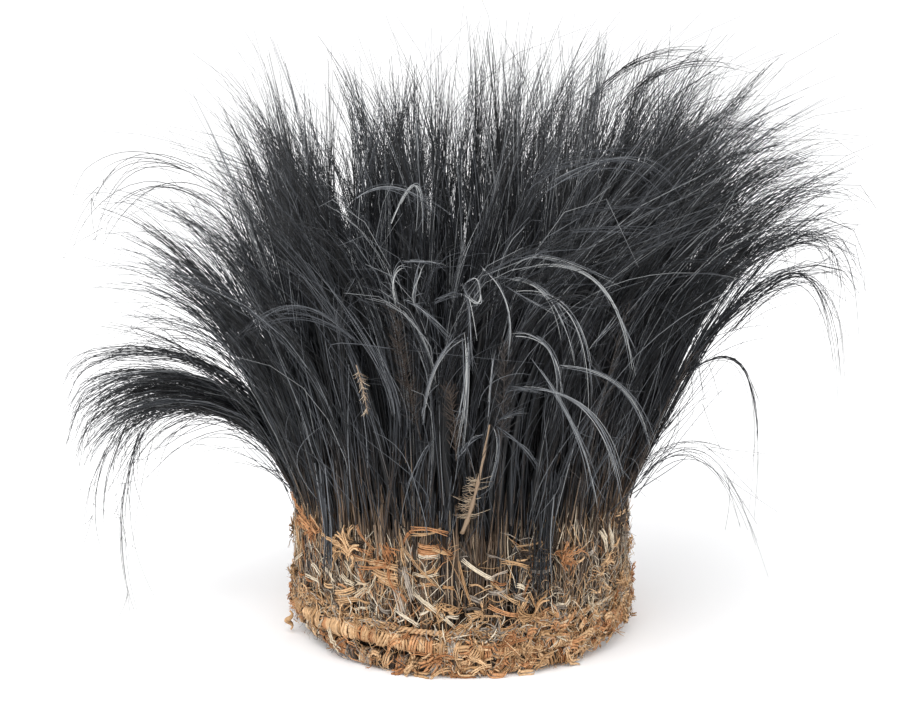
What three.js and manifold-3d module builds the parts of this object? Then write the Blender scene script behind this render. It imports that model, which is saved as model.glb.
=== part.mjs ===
// A feathered headdress: long, hair-like black feathers tied side by side in bunches round an open band
// of knotted plant fibre. Units are millimetres. +Z is up, +X is the wearer's left and -Y is the front.
// The origin is the centre of the band, on the flat surface that the band stands on.
//
// From the inside outwards the band is an inner wall, the bound feet of the feather bunches, and the
// cords that tie them: two thick wrapped cords round the foot and two thin ones higher up. Above the
// band each bunch spreads into a fan of locks, the inner ones upright and the outer ones arching over.
import * as THREE from "three";
import { mergeVertices } from "three/addons/utils/BufferGeometryUtils.js";
import Module from "manifold-3d";

const wasm = await Module();
wasm.setup();

const GAP = 0.35; // between neighbouring pieces
const LAYER_GAP = 0.8; // between the layers of the band, where straight feet meet round rings
const RAD = Math.PI / 180;

// The band is an oval seen from above, and these are its half axes to the outer face of the feet.
const BAND_HALF_X = 93;
const BAND_HALF_Y = 98;
const ROUND_STEPS = 44;

// Radial layers, measured inwards from the outer face of the feet.
const FOOT_THICK = 6;
const FOOT_MIDDLE = FOOT_THICK / 2;
const WALL_THICK = 2.6;
const WALL_MIDDLE = FOOT_THICK + LAYER_GAP + WALL_THICK / 2;
const WALL_HEIGHT = 58;

// The two wrapped cords of the rim lie one on the other, and the feet stand on the upper one.
const RIM_CORD = 9;
const RIM_MIDDLE = 1.6;
const RIM_COLOURS = { lower: 0xa87d50, upper: 0xbb8f5c };

// A thinner cord is twined round the outside of the feet, just above the rim.
const TIE_CORD = { height: 26, size: 3, colour: 0xb08556 };

// Each bunch has the same slice of the circle, its sector.
const BUNCHES = 24;
const SECTOR = (360 / BUNCHES) * RAD;
const FOOT = { bottom: 2 * RIM_CORD + 2 * GAP, top: 62, width: 22.8 };
const NECK = { bottom: 65, top: 74, width: 18.4, thick: 8 };

// Rays of a fan from innermost to outermost. Every second ray, from the first on, is the ridge of a
// lock, and the rays between are the notches that part the locks.
const RAYS = 9;
const NOTCH_DEPTH = 0.17; // of a ray's length, at the tip
const SIDE_SWAY = 0.1; // of the sector's width: how far ridges sway left and right by turns

// Sections of a fan up from the neck: a row for each, with its share of the rays' length, how much of
// the sector a ridge fills there, and how wide a notch is beside a ridge.
const FAN_ROWS = [
  { share: 0.14, fill: 0.88, notch: 1 },
  { share: 0.36, fill: 0.97, notch: 0.98 },
  { share: 0.6, fill: 0.94, notch: 0.93 },
  { share: 0.82, fill: 0.72, notch: 0.8 },
  { share: 1, fill: 0.2, notch: 1.5 },
];

// A ray leaves the neck at one lean from upright, in degrees, and grows to another at its tip. Its
// leans and its length follow from its place in the fan: 0 is innermost and 1 is outermost. Towards
// the wearer's left the rays are longer and lean over later, so that their tips hang out.
const standingRay = (place, leftward) => ({
  start: -3 + 24 * place,
  end: 6 + 84 * place ** 1.2,
  growth: 1.3 + 0.9 * leftward, // above 1 the lean grows late
  length: 252 - (82 - 24 * leftward) * place ** 2,
});

// One bunch, at the wearer's right, has fallen over sideways in an arch.
const ARCHED_BUNCH = 13;
const archedRay = (place) => ({
  start: 8 * place,
  end: 125 + 25 * place,
  growth: 1,
  length: 186 - 20 * place,
});

// Straps bound round the necks of some bunches: a row for each.
const BINDING_THICK = 1.6;
const BINDINGS = [
  { bunch: 2, height: 6.5, colour: 0xc39a66 },
  { bunch: 5, height: 5, colour: 0xa97443 },
  { bunch: 8, height: 6.5, colour: 0xb98a58 },
  { bunch: 11, height: 5, colour: 0xc39a66 },
  { bunch: 14, height: 5.5, colour: 0xb98a58 },
  { bunch: 16, height: 5, colour: 0xb5723a },
  { bunch: 18, height: 8, colour: 0xd9c3a0 },
  { bunch: 20, height: 5.5, colour: 0xa97443 },
  { bunch: 23, height: 8, colour: 0xcdb085 },
];

// The loose end of the lower rim cord hangs beside the band at the wearer's right.
const TAIL = { angle: 197 * RAD, out: 7.5, top: 11, bottom: 1, size: 5.5 };

const finish = (colour, roughness) =>
  new THREE.MeshStandardMaterial({ color: colour, roughness, metalness: 0 });
const FEATHER = finish(0x1d2023, 0.5);
const WALL_FIBRE = finish(0x6b5138, 0.9);

const headdress = new THREE.Group();

// Outward, across and up at an angle round the band: a right-handed set of directions.
const outwardAt = (angle) => new THREE.Vector3(Math.cos(angle), Math.sin(angle), 0);
const acrossAt = (angle) => new THREE.Vector3(-Math.sin(angle), Math.cos(angle), 0);

// Distance from the axis to the band's outer face at an angle, less an inset.
function bandRadius(angle, inset) {
  const { x, y } = outwardAt(angle);
  return 1 / Math.hypot(x / (BAND_HALF_X - inset), y / (BAND_HALF_Y - inset));
}

function solidOf(geometry) {
  geometry.deleteAttribute("normal");
  geometry.deleteAttribute("uv");
  const merged = mergeVertices(geometry, 1e-3);
  return new wasm.Manifold(
    new wasm.Mesh({
      numProp: 3,
      vertProperties: merged.getAttribute("position").array,
      triVerts: new Uint32Array(merged.index.array),
    }),
  );
}

function put(name, solid, material) {
  const { vertProperties, triVerts } = solid.getMesh();
  const geometry = new THREE.BufferGeometry()
    .setAttribute("position", new THREE.BufferAttribute(vertProperties, 3))
    .setIndex(new THREE.BufferAttribute(triVerts, 1));
  const mesh = new THREE.Mesh(geometry, material);
  mesh.name = name;
  headdress.add(mesh);
}

// A ring that follows the band: a closed section of points (inset, height) turned once round.
function bandRing(section) {
  const profile = section.map(([inset, z]) => new THREE.Vector2(BAND_HALF_X - inset, z));
  const geometry = new THREE.LatheGeometry([...profile, profile[0]], ROUND_STEPS);
  geometry.rotateX(Math.PI / 2);
  const places = geometry.getAttribute("position");
  for (let i = 0; i < places.count; i++) {
    const angle = Math.atan2(places.getY(i), places.getX(i));
    const inset = BAND_HALF_X - Math.hypot(places.getX(i), places.getY(i));
    const place = outwardAt(angle).multiplyScalar(bandRadius(angle, inset));
    places.setXY(i, place.x, place.y);
  }
  return solidOf(geometry);
}

// The section of a round cord, with a flat side above and below.
function cordSection(inset, height, size, sides) {
  const corner = size / 2 / Math.cos(Math.PI / sides);
  return Array.from({ length: sides }, (_, k) => {
    const turn = (2 * Math.PI * (k + 0.5)) / sides;
    return [inset + corner * Math.sin(turn), height + corner * Math.cos(turn)];
  });
}

// A closed body through sections. Each section lists its ridge points on one side and then, in the
// same order, on the other, so that the two sides of a section face each other.
function loft(sections) {
  const half = sections[0].length / 2;
  const ring = [...Array(half).keys(), ...[...Array(half).keys()].map((k) => 2 * half - 1 - k)];
  const corner = (row, k) => row * 2 * half + ring[k % (2 * half)];
  const faces = [];
  const quad = (a, b, c, d) => faces.push(a, b, c, a, c, d);
  for (let row = 0; row + 1 < sections.length; row++)
    for (let k = 0; k < 2 * half; k++)
      quad(corner(row, k), corner(row, k + 1), corner(row + 1, k + 1), corner(row + 1, k));
  const last = (sections.length - 1) * 2 * half;
  for (let k = 0; k + 1 < half; k++) {
    quad(k, half + k, half + k + 1, k + 1);
    quad(last + k, last + k + 1, last + half + k + 1, last + half + k);
  }
  const places = sections.flat().flatMap((point) => point.toArray());
  const geometry = new THREE.BufferGeometry()
    .setAttribute("position", new THREE.Float32BufferAttribute(places, 3))
    .setIndex(faces);
  return solidOf(geometry);
}

// How wide a section is at a place through its thickness, beside its full width.
const roundness = (place) => Math.sqrt(1 - 0.75 * (2 * place - 1) ** 2);

const places = Array.from({ length: RAYS }, (_, k) => k / (RAYS - 1));

// A level section through a foot or a neck, in the middle of the layer of feet.
function levelSection(angle, height, width, thick) {
  const side = (way) =>
    places.map((place) =>
      outwardAt(angle)
        .multiplyScalar(bandRadius(angle, FOOT_MIDDLE) + (place - 0.5) * thick)
        .addScaledVector(acrossAt(angle), (way * width * roundness(place)) / 2)
        .setZ(height),
    );
  return [...side(-1), ...side(1)];
}

// Radius and height at a share of a ray's length. The ray leaves the top of the neck.
function alongRay(angle, place, ray, share) {
  const root = bandRadius(angle, FOOT_MIDDLE) + (place - 0.5) * NECK.thick;
  const point = new THREE.Vector2(root, NECK.top);
  const steps = 20;
  for (let k = 0; k < steps; k++) {
    const grown = (((k + 0.5) / steps) * share) ** ray.growth;
    const lean = (ray.start + (ray.end - ray.start) * grown) * RAD;
    point.x += (Math.sin(lean) * ray.length * share) / steps;
    point.y += (Math.cos(lean) * ray.length * share) / steps;
  }
  return point;
}

// A section across a fan. Its width is a part of the sector's width at each ray's own radius.
function fanSection(angle, row, rayAt) {
  const side = (way) =>
    places.map((place, k) => {
      const isNotch = k % 2 === 1;
      const share = isNotch ? row.share * (1 - NOTCH_DEPTH * row.share ** 3) : row.share;
      const point = alongRay(angle, place, rayAt(place), share);
      const sectorWidth = 2 * point.x * Math.tan(SECTOR / 2);
      const width = sectorWidth * row.fill * (isNotch ? row.notch : 1) * roundness(place) ** 0.6;
      const room = (sectorWidth - width) / 2 - GAP;
      const ridgeSway = Math.min(SIDE_SWAY * sectorWidth * share, room) * (k % 4 ? -1 : 1);
      const sway = isNotch ? 0 : ridgeSway;
      return outwardAt(angle)
        .multiplyScalar(point.x)
        .addScaledVector(acrossAt(angle), (way * width) / 2 + sway)
        .setZ(point.y);
    });
  return [...side(-1), ...side(1)];
}

const bunchAngle = (number) => (number - 0.5) * SECTOR;

// The rays of a bunch. Fans are widest at the wearer's left, the outer rays are shorter at the right,
// and neighbours differ a little in width and height.
function raysOf(number) {
  if (number === ARCHED_BUNCH) return archedRay;
  const sideward = outwardAt(bunchAngle(number)).x;
  const leftward = Math.max(sideward, 0);
  const fan = 0.5 + (leftward ? 0.46 : 0.12) * sideward ** 2 + 0.02 * Math.sin(5 * number);
  const tallness = 1 + 0.03 * Math.sin(2.4 * number);
  const shortening = 0.2 * Math.max(-sideward, 0);
  return (place) => {
    const ray = standingRay(place * fan, leftward);
    return { ...ray, length: ray.length * tallness * (1 - shortening * place ** 0.5) };
  };
}

function featherBunch(number) {
  const angle = bunchAngle(number);
  const rayAt = raysOf(number);
  return loft([
    levelSection(angle, FOOT.bottom, FOOT.width, FOOT_THICK),
    levelSection(angle, FOOT.top, FOOT.width, FOOT_THICK),
    levelSection(angle, NECK.bottom, NECK.width, NECK.thick),
    levelSection(angle, NECK.top, NECK.width, NECK.thick),
    ...FAN_ROWS.map((row) => fanSection(angle, row, rayAt)),
  ]);
}

// A strap round the neck of a bunch: an outer block with the neck's own form cut out of it.
function binding({ bunch, height }) {
  const angle = bunchAngle(bunch);
  const block = (grow, bottom, top) =>
    loft(
      [bottom, top].map((z) =>
        levelSection(angle, z, NECK.width + 2 * grow, NECK.thick + 2 * grow),
      ),
    );
  const bottom = NECK.bottom + GAP;
  const outer = block(2 * GAP + BINDING_THICK, bottom, bottom + height);
  return outer.subtract(block(2 * GAP, bottom - 1, bottom + height + 1));
}

// The tail is a short bar, thicker where it is knotted at its foot.
function tail() {
  const rows = [
    { z: TAIL.bottom, size: TAIL.size * 0.7 },
    { z: TAIL.bottom + 3, size: TAIL.size },
    { z: TAIL.top, size: TAIL.size * 0.6 },
  ];
  const last = rows.length - 1;
  const geometry = new THREE.CylinderGeometry(1, 1, 1, 8, last);
  const places = geometry.getAttribute("position");
  const middle = outwardAt(TAIL.angle).multiplyScalar(bandRadius(TAIL.angle, -TAIL.out));
  for (let i = 0; i < places.count; i++) {
    const row = rows[Math.round((places.getY(i) + 0.5) * last)];
    const half = row.size / 2;
    places.setXYZ(i, middle.x + places.getX(i) * half, middle.y - places.getZ(i) * half, row.z);
  }
  return solidOf(geometry);
}

const wallSection = [
  [WALL_MIDDLE - WALL_THICK / 2, 0],
  [WALL_MIDDLE - WALL_THICK / 2, WALL_HEIGHT],
  [WALL_MIDDLE + WALL_THICK / 2, WALL_HEIGHT],
  [WALL_MIDDLE + WALL_THICK / 2, 0],
];
put("band_wall", bandRing(wallSection), WALL_FIBRE);

const rimHeights = { lower: RIM_CORD / 2, upper: RIM_CORD * 1.5 + GAP };
for (const [level, height] of Object.entries(rimHeights)) {
  const section = cordSection(RIM_MIDDLE, height, RIM_CORD, 8);
  put(`rim_cord_${level}`, bandRing(section), finish(RIM_COLOURS[level], 0.85));
}

const tieMiddle = -LAYER_GAP - TIE_CORD.size / 2;
const tieSection = cordSection(tieMiddle, TIE_CORD.height, TIE_CORD.size, 6);
put("tie_cord", bandRing(tieSection), finish(TIE_CORD.colour, 0.85));

for (let number = 1; number <= BUNCHES; number++)
  put(`feather_bunch_${String(number).padStart(2, "0")}`, featherBunch(number), FEATHER);

BINDINGS.forEach((row, k) => put(`neck_binding_${k + 1}`, binding(row), finish(row.colour, 0.8)));

put("cord_tail", tail(), finish(RIM_COLOURS.lower, 0.85));

export default headdress;
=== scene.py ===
# %% [markdown]
# # A feathered headdress
#
# Long, hair-like black feathers are tied side by side in bunches round an open band of knotted and
# frayed plant fibre. The CAD model gives the frame: the band's rings, and one plain solid for each
# bunch. This notebook replaces each of them with what the real thing shows: shafts and loose barbs in
# the plumage, and wrapped cords, twining, straps and loose fibre on the band.
#
# Lengths are in millimetres in the rules below, and the meshes are in metres. +Z is up, +X is the
# wearer's left, and -Y is the front.

# %% The frame
import math

import bpy
import numpy as np
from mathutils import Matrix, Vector


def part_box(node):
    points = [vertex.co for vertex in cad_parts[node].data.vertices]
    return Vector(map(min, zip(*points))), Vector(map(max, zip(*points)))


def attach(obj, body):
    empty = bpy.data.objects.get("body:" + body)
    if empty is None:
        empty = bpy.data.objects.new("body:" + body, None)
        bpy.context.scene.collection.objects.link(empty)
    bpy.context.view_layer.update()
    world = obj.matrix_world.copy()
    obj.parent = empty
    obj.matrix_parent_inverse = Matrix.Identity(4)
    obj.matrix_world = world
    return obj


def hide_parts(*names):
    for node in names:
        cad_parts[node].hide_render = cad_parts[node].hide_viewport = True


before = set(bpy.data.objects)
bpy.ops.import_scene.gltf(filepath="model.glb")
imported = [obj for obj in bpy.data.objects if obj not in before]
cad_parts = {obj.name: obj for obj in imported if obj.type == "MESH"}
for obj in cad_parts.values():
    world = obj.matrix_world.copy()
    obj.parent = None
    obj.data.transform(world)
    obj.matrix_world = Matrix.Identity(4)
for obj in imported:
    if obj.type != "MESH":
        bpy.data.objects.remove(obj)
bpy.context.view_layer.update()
bunches = sorted(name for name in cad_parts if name.startswith("feather_bunch"))

# %% [markdown]
# ## Tubes
#
# Nearly everything on a headdress like this is many small, long things of one kind: barbs, shafts,
# fibres, straps. Blender's own hair would draw them, but it isn't a mesh and can't be exported or
# measured. One curve object for each would take thousands of objects. So `tubes` turns a whole batch of
# centre-lines into arrays of closed tubes at once. Each tube carries a UV map: U is its tone, the same
# all along it, and V is its place along the feather or fibre.

# %% Tubes
MM = 0.001
TONE_WIDTH = 0.006  # how far a tube's own U reaches round it


def unit(vectors):
    return vectors / np.maximum(np.linalg.norm(vectors, axis=-1, keepdims=True), 1e-12)


def tubes(paths, radii, tone, along, beside, sides=3, flat=1.0):
    """Closed tubes along centre-lines.

    paths is tubes x points x 3 and radii is tubes x points. beside is a direction that no tube runs
    along. A tube is as wide as its radii along it and flat times that across it.
    """
    count, points, _ = paths.shape
    run = unit(np.gradient(paths, axis=1))
    beside = np.broadcast_to(beside, paths.shape)
    wide = unit(beside - run * np.sum(beside * run, axis=-1, keepdims=True))
    thick = np.cross(run, wide)
    turn = np.arange(sides) * 2 * math.pi / sides
    offset = wide[:, :, None] * np.cos(turn)[:, None] + thick[:, :, None] * np.sin(turn)[:, None] * flat
    places = paths[:, :, None] + offset * radii[:, :, None, None]
    first = (np.arange(count) * points * sides)[:, None, None]
    row = (np.arange(points - 1) * sides)[None, :, None]
    here = np.arange(sides)[None, None, :]
    after = (here + 1) % sides
    quads = np.stack(
        [first + row + here, first + row + after, first + row + sides + after, first + row + sides + here],
        axis=-1,
    ).reshape(-1, 4)
    start_caps = (first[:, 0] + np.arange(sides)[None, ::-1]).reshape(-1, sides)
    end_caps = (first[:, 0] + (points - 1) * sides + np.arange(sides)[None, :]).reshape(-1, sides)
    u = tone[:, None, None] * (1 - TONE_WIDTH) + TONE_WIDTH * np.arange(sides) / sides
    uv = np.stack(np.broadcast_arrays(u, along[:, :, None]), axis=-1)
    faces = [quads, start_caps, end_caps]
    return {"places": places.reshape(-1, 3), "uv": uv.reshape(-1, 2), "faces": faces}


print("a tube of 6 points has", 2 * 3 * (6 - 1) + 2, "triangles")

# %% [markdown]
# Raffia and bark aren't round. A strip of them is a few strands side by side that part towards its
# ends, which shows the fraying in the mesh itself, where a flat ribbon with a picture on it wouldn't.


# %% Strips of strands
LOWEST_FIBRE = 0.5  # height of the lowest centre-line above the floor


def strands(rng, paths, beside, width, tone, count=3, fray=0.35, flat=0.7):
    """Flat strips made of fine strands side by side, which part a little towards the strip's ends.

    width is the half width of each strip. The strands of one strip differ a little in tone.
    """
    strips, points, _ = paths.shape
    run = unit(np.gradient(paths, axis=1))
    beside = np.broadcast_to(beside, paths.shape)
    wide = unit(beside - run * np.sum(beside * run, axis=-1, keepdims=True))
    lane = np.broadcast_to(np.linspace(-1, 1, count)[None, :, None], (strips, count, points))
    end = np.abs(np.linspace(-1, 1, points)) ** 4
    parted = 1 + fray * end * rng.uniform(0, 3, (strips, count, 1))
    offset = lane * width[:, None, None] * (1 - 1 / count) * parted
    many = paths[:, None] + wide[:, None] * offset[..., None]
    phase = rng.uniform(2, 7, (strips, count, 1)) * np.linspace(0, 1, points)
    wave = np.sin(phase + rng.uniform(0, 6, (strips, count, 1)))
    many = many + np.cross(run, wide)[:, None] * rng.normal(0, 0.14, (strips, count, 1, 1))
    many = many + wide[:, None] * (wave * rng.normal(0, 0.25, (strips, count, 1)))[..., None]
    many[..., 2] = np.maximum(many[..., 2], LOWEST_FIBRE)
    radii = width[:, None, None] / count * rng.uniform(0.8, 1.5, (strips, count, 1)) * (1 - 0.45 * end)
    tone = np.repeat(tone, count) + rng.normal(0, 0.02, strips * count)
    along = np.tile(np.linspace(0, 1, points), (strips * count, 1))
    along = along + rng.uniform(0, 9, (strips * count, 1))
    beside = np.repeat(beside, count, axis=0)
    many = many.reshape(strips * count, points, 3)
    radii = radii.reshape(strips * count, points)
    return tubes(many, radii, np.clip(tone, 0, 0.99), along, beside, flat=flat)


print("a strip is made of 2 or 3 strands")

# %% [markdown]
# ## Meshes
#
# `join` makes one mesh object of several batches. The arrays go in with `foreach_set`, which is many times
# faster than a loop over vertices. Each object sits at the origin, with its place in its mesh, as the CAD
# model's pieces do.


# %% Meshes
def join(name, batches, material):
    """One mesh object of several batches, which rides on the root."""
    mesh = bpy.data.meshes.new(name)
    corners, sizes, base = [], [], 0
    for batch in batches:
        for faces in batch["faces"]:
            corners.append((faces + base).ravel())
            sizes.append(np.full(len(faces), faces.shape[1]))
        base += len(batch["places"])
    corners = np.concatenate(corners)
    sizes = np.concatenate(sizes)
    places = np.concatenate([batch["places"] for batch in batches]) * MM
    places[:, 2] = np.maximum(places[:, 2], 0.0)  # what reaches the floor is pressed flat on it
    mesh.vertices.add(len(places))
    mesh.vertices.foreach_set("co", places.astype(np.float32).ravel())
    mesh.loops.add(len(corners))
    mesh.loops.foreach_set("vertex_index", corners.astype(np.int32))
    mesh.polygons.add(len(sizes))
    starts = np.concatenate([[0], np.cumsum(sizes)[:-1]])
    mesh.polygons.foreach_set("loop_start", starts.astype(np.int32))
    mesh.polygons.foreach_set("use_smooth", np.ones(len(sizes), dtype=bool))
    mesh.update(calc_edges=True)
    uv = np.concatenate([batch["uv"] for batch in batches])[corners]
    mesh.uv_layers.new(name="OFBake").data.foreach_set("uv", uv.astype(np.float32).ravel())
    mesh.materials.append(material)
    piece = bpy.data.objects.new(name, mesh)
    bpy.context.collection.objects.link(piece)
    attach(piece, "root")
    return piece


def triangles(piece):
    return sum(len(face.vertices) - 2 for face in piece.data.polygons)


print("meshes are scaled by", MM, "from millimetres to metres")

# %% [markdown]
# ## Colours and nodes
#
# Colours are written as on a paint chart, in sRGB, and `linear` turns them to the values that a shader
# takes. `add` adds any node with its settings and links.


# %% Colours and nodes
def linear(hex_colour):
    """A linear colour with alpha from an sRGB hex colour."""
    parts = [int(hex_colour[i : i + 2], 16) / 255 for i in (1, 3, 5)]
    return [p / 12.92 if p <= 0.04045 else ((p + 0.055) / 1.055) ** 2.4 for p in parts] + [1.0]


def add(tree, kind, inputs=None, **settings):
    """Add a node. Each input is a plain value or a socket to link from."""
    node = tree.nodes.new(kind)
    for key, value in settings.items():
        setattr(node, key, value)
    for key, value in (inputs or {}).items():
        if isinstance(value, bpy.types.NodeSocket):
            tree.links.new(value, node.inputs[key])
        else:
            node.inputs[key].default_value = value
    return node


def ramp(tree, factor, stops):
    """A colour ramp through (position, hex colour) stops."""
    node = add(tree, "ShaderNodeValToRGB", {"Fac": factor})
    elements = node.color_ramp.elements
    while len(elements) < len(stops):
        elements.new(0.5)
    for element, (position, colour) in zip(elements, stops):
        element.position = position
        element.color = linear(colour)
    return node.outputs["Color"]


print("middle grey is", round(linear("#808080")[0], 3), "in linear light")

# %% [markdown]
# ## Camera
#
# The headdress is seen from the front and 13 degrees above, from about a metre and a third away. A long
# lens at that distance keeps the near and the far feathers in proportion.

# %% Camera
ELEVATION = math.radians(13)
DISTANCE = 1.35
target = Vector((-0.001, 0, 0.151))

camera = bpy.data.objects.new("camera", bpy.data.cameras.new("camera"))
bpy.context.collection.objects.link(camera)
camera.location = target + DISTANCE * Vector((0, -math.cos(ELEVATION), math.sin(ELEVATION)))
camera.rotation_euler = (math.pi / 2 - ELEVATION, 0, 0)
camera.data.lens = 94.5
camera.data.sensor_width = 36
bpy.context.scene.camera = camera
print("camera at", tuple(round(value, 3) for value in camera.location))

# %% [markdown]
# ## Light and floor
#
# The headdress stands on a white sweep, lit evenly as in a light tent: a bright surround, a large soft
# light above the front and a weaker one at each side. Black feathers show their form only by soft
# highlights along the barbs, so the lights are wide.

# %% Light and floor
scene = bpy.context.scene
scene.view_settings.view_transform = "Standard"

world = bpy.data.worlds.new("white_surround")
world.use_nodes = True
world.node_tree.nodes["Background"].inputs["Color"].default_value = (1, 1, 1, 1)
world.node_tree.nodes["Background"].inputs["Strength"].default_value = 1.15
scene.world = world


def soft_light(name, place, size, power):
    lamp = bpy.data.lights.new(name, "AREA")
    lamp.shape = "DISK"
    lamp.size = size
    lamp.energy = power
    lamp_object = bpy.data.objects.new(name, lamp)
    bpy.context.collection.objects.link(lamp_object)
    lamp_object.location = place
    aim = Vector((0, 0, 0.15)) - Vector(place)
    lamp_object.rotation_euler = aim.to_track_quat("-Z", "Y").to_euler()


soft_light("key_light", (-0.5, -1.4, 2.0), 1.6, 26)
soft_light("left_light", (-1.9, -0.9, 0.9), 1.6, 9)
soft_light("right_light", (1.9, -0.9, 0.9), 1.6, 9)

bpy.ops.mesh.primitive_plane_add(size=40)
floor = bpy.context.object
floor.name = "floor"
floor_paint = bpy.data.materials.new("white_sweep")
floor_paint.use_nodes = True
shader = floor_paint.node_tree.nodes["Principled BSDF"]
shader.inputs["Base Color"].default_value = linear("#FDFDFE")
shader.inputs["Roughness"].default_value = 0.9
shader.inputs["Specular IOR Level"].default_value = 0.1
floor.data.materials.append(floor_paint)
print("lights:", sum(lamp.energy for lamp in bpy.data.lights), "W in all")

# %% [markdown]
# ## Feather keratin
#
# The barbs of a running bird's feathers are keratin, as hair and horn are. Grown smooth and coloured
# right through, they are near black with a cool grey sheen along their length. A few are painted light
# grey as painted highlights, and the shafts are brown where they leave the band. A noise pattern in space
# would cut across the barbs, so the tone comes from U and the brown from V: each barb's colour is its own.


# %% Feather keratin
def feather_material():
    material = bpy.data.materials.new("black_feather_keratin")
    material.use_nodes = True
    tree = material.node_tree
    shader = tree.nodes["Principled BSDF"]
    where = add(tree, "ShaderNodeUVMap", uv_map="OFBake")
    parts = add(tree, "ShaderNodeSeparateXYZ", {"Vector": where.outputs["UV"]})
    tone, along = parts.outputs["X"], parts.outputs["Y"]
    dark_greys = [(0, "#090A0C"), (0.4, "#15171A"), (0.62, "#2A2D32")]
    # The light greys at the top of the tone are painted highlights on the black barbs.
    painted_highlight_greys = [(0.8, "#4A4D52"), (0.92, "#7A7D81"), (1, "#C2C4C2")]
    black = ramp(tree, tone, dark_greys + painted_highlight_greys)
    quill_browns = [(0, "#2A2019"), (0.35, "#4E3E30"), (0.7, "#7A6552"), (0.9, "#A08A72"), (1, "#C9B79E")]
    brown = ramp(tree, tone, quill_browns)
    depth = add(tree, "ShaderNodeMapRange", {"Value": along, "From Min": 0.22, "From Max": 0.42})
    depth.interpolation_type = "SMOOTHSTEP"
    mix = add(tree, "ShaderNodeMix", {0: depth.outputs["Result"]}, data_type="RGBA")
    tree.links.new(brown, mix.inputs["A"])
    tree.links.new(black, mix.inputs["B"])
    tree.links.new(mix.outputs["Result"], shader.inputs["Base Color"])
    shader.inputs["Roughness"].default_value = 0.4
    shader.inputs["Specular IOR Level"].default_value = 0.36
    return material


feather = feather_material()
print("made", feather.name)

# %% [markdown]
# ## Plumage
#
# Bunches of long feathers stand side by side round the band, each in its own slice of the circle. One
# bunch could be modelled by hand and copied, but no two real ones are alike. So each is worked out from
# the rules that gave the CAD model its solids, with random numbers of its own, and it keeps the place and
# the size of its solid. First come the measures and the ways to say where something is on the band.

# %% Places on the band
SECTOR = 2 * math.pi / len(bunches)
BAND_HALF = np.array([93.0, 98.0])  # half axes of the band's outer face
MEAN_RADIUS = 97.0  # of the band, which turns a length round it to an angle
FOOT_MIDDLE = 3.0  # inset of the middle of the layer of feet
FOOT_BOTTOM = 19.0
NECK_TOP = 74.0
UP = np.array([0, 0, 1.0])


def outward(angle):
    return np.stack([np.cos(angle), np.sin(angle), np.zeros_like(angle)], axis=-1)


def across(angle):
    return np.stack([-np.sin(angle), np.cos(angle), np.zeros_like(angle)], axis=-1)


def band_radius(angle, inset):
    half_x, half_y = BAND_HALF[0] - inset, BAND_HALF[1] - inset
    return 1 / np.hypot(np.cos(angle) / half_x, np.sin(angle) / half_y)


def hump(angle, middle, half_width):
    """1 at one place round the band and 0 away from it. The angles are in degrees."""
    away = (np.degrees(angle) - middle + 180) % 360 - 180
    return np.exp(-((away / half_width) ** 2))


def raised(angle, height):
    """The band's foot is worn and stands clear of the floor at both sides of the front."""
    lift = 7.0 * hump(angle, 196, 29) + 6.5 * hump(angle, 338, 24)
    return height + lift * np.clip(1 - height / 40, 0, 1)


def on_band(angle, x, height, out):
    """Points beside a place on the band: x round it, out from the outer face of the feet."""
    turned = angle + x / MEAN_RADIUS
    point = outward(turned) * (band_radius(turned, 0.0) + out)[..., None]
    point[..., 2] = raised(turned, height)
    return point


print("a bunch has", round(math.degrees(SECTOR), 1), "degrees of the band")

# %% [markdown]
# A bunch is a fan of rays from the innermost (place 0) to the outermost (place 1). A ray leaves the neck
# at one lean from upright and grows to another. One bunch, at the wearer's right, arches right over.

# %% Rules of the fans
ARCHED_BUNCH = 13
SHARES = np.linspace(0, 1.4, 57)  # of a ray's length


def ray_rules(number, place):
    """Leans in degrees, growth and length of the rays at some places in a bunch."""
    if number == ARCHED_BUNCH:
        return 5 + 10 * place, 126 + 24 * place, 1.0, 192 - 14 * place
    sideward = math.cos((number - 0.5) * SECTOR)
    leftward = max(sideward, 0)
    fan = 0.5 + (0.46 if leftward else 0.12) * sideward**2 + 0.02 * math.sin(5 * number)
    tallness = 1 + 0.03 * math.sin(2.4 * number)
    shortening = 0.2 * max(-sideward, 0)
    spot = place * fan
    length = (252 - (82 - 24 * leftward) * spot**2) * tallness * (1 - shortening * place**0.5)
    return -3 + 24 * spot, 6 + 84 * spot**1.2, 1.3 + 0.9 * leftward, length


for number in (1, 7, ARCHED_BUNCH, 18):
    print("bunch", number, "leans out to", round(float(ray_rules(number, 1.0)[1])), "degrees")

# %% [markdown]
# Every feather of a bunch gets a centre-line along such a ray. Real ones cling together in tufts, curl
# over near the tip and wander, and random numbers with a fixed seed give them that, the same each time.

# %% Centre-lines of the feathers
DARKER = {15: -0.08, 21: -0.12, 22: -0.06}  # bunches that are blacker than the rest
# By how many millimetres the brown quills may stand up into the black: LOW_QUILLS, but for some bunches.
HIGH_QUILLS = {8: 20, 15: 22, 16: 44, 17: 30, 18: 26, 19: 24, 21: 24, 22: 32, 23: 44, 24: 44}
LOW_QUILLS = 9


def tufted(rng, spread, count):
    """Random values of which every four neighbours share a part, so that feathers go in tufts."""
    shared = rng.normal(0, 0.85 * spread, count)[np.arange(count) // 4]
    return shared + rng.normal(0, 0.5 * spread, count)


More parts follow.
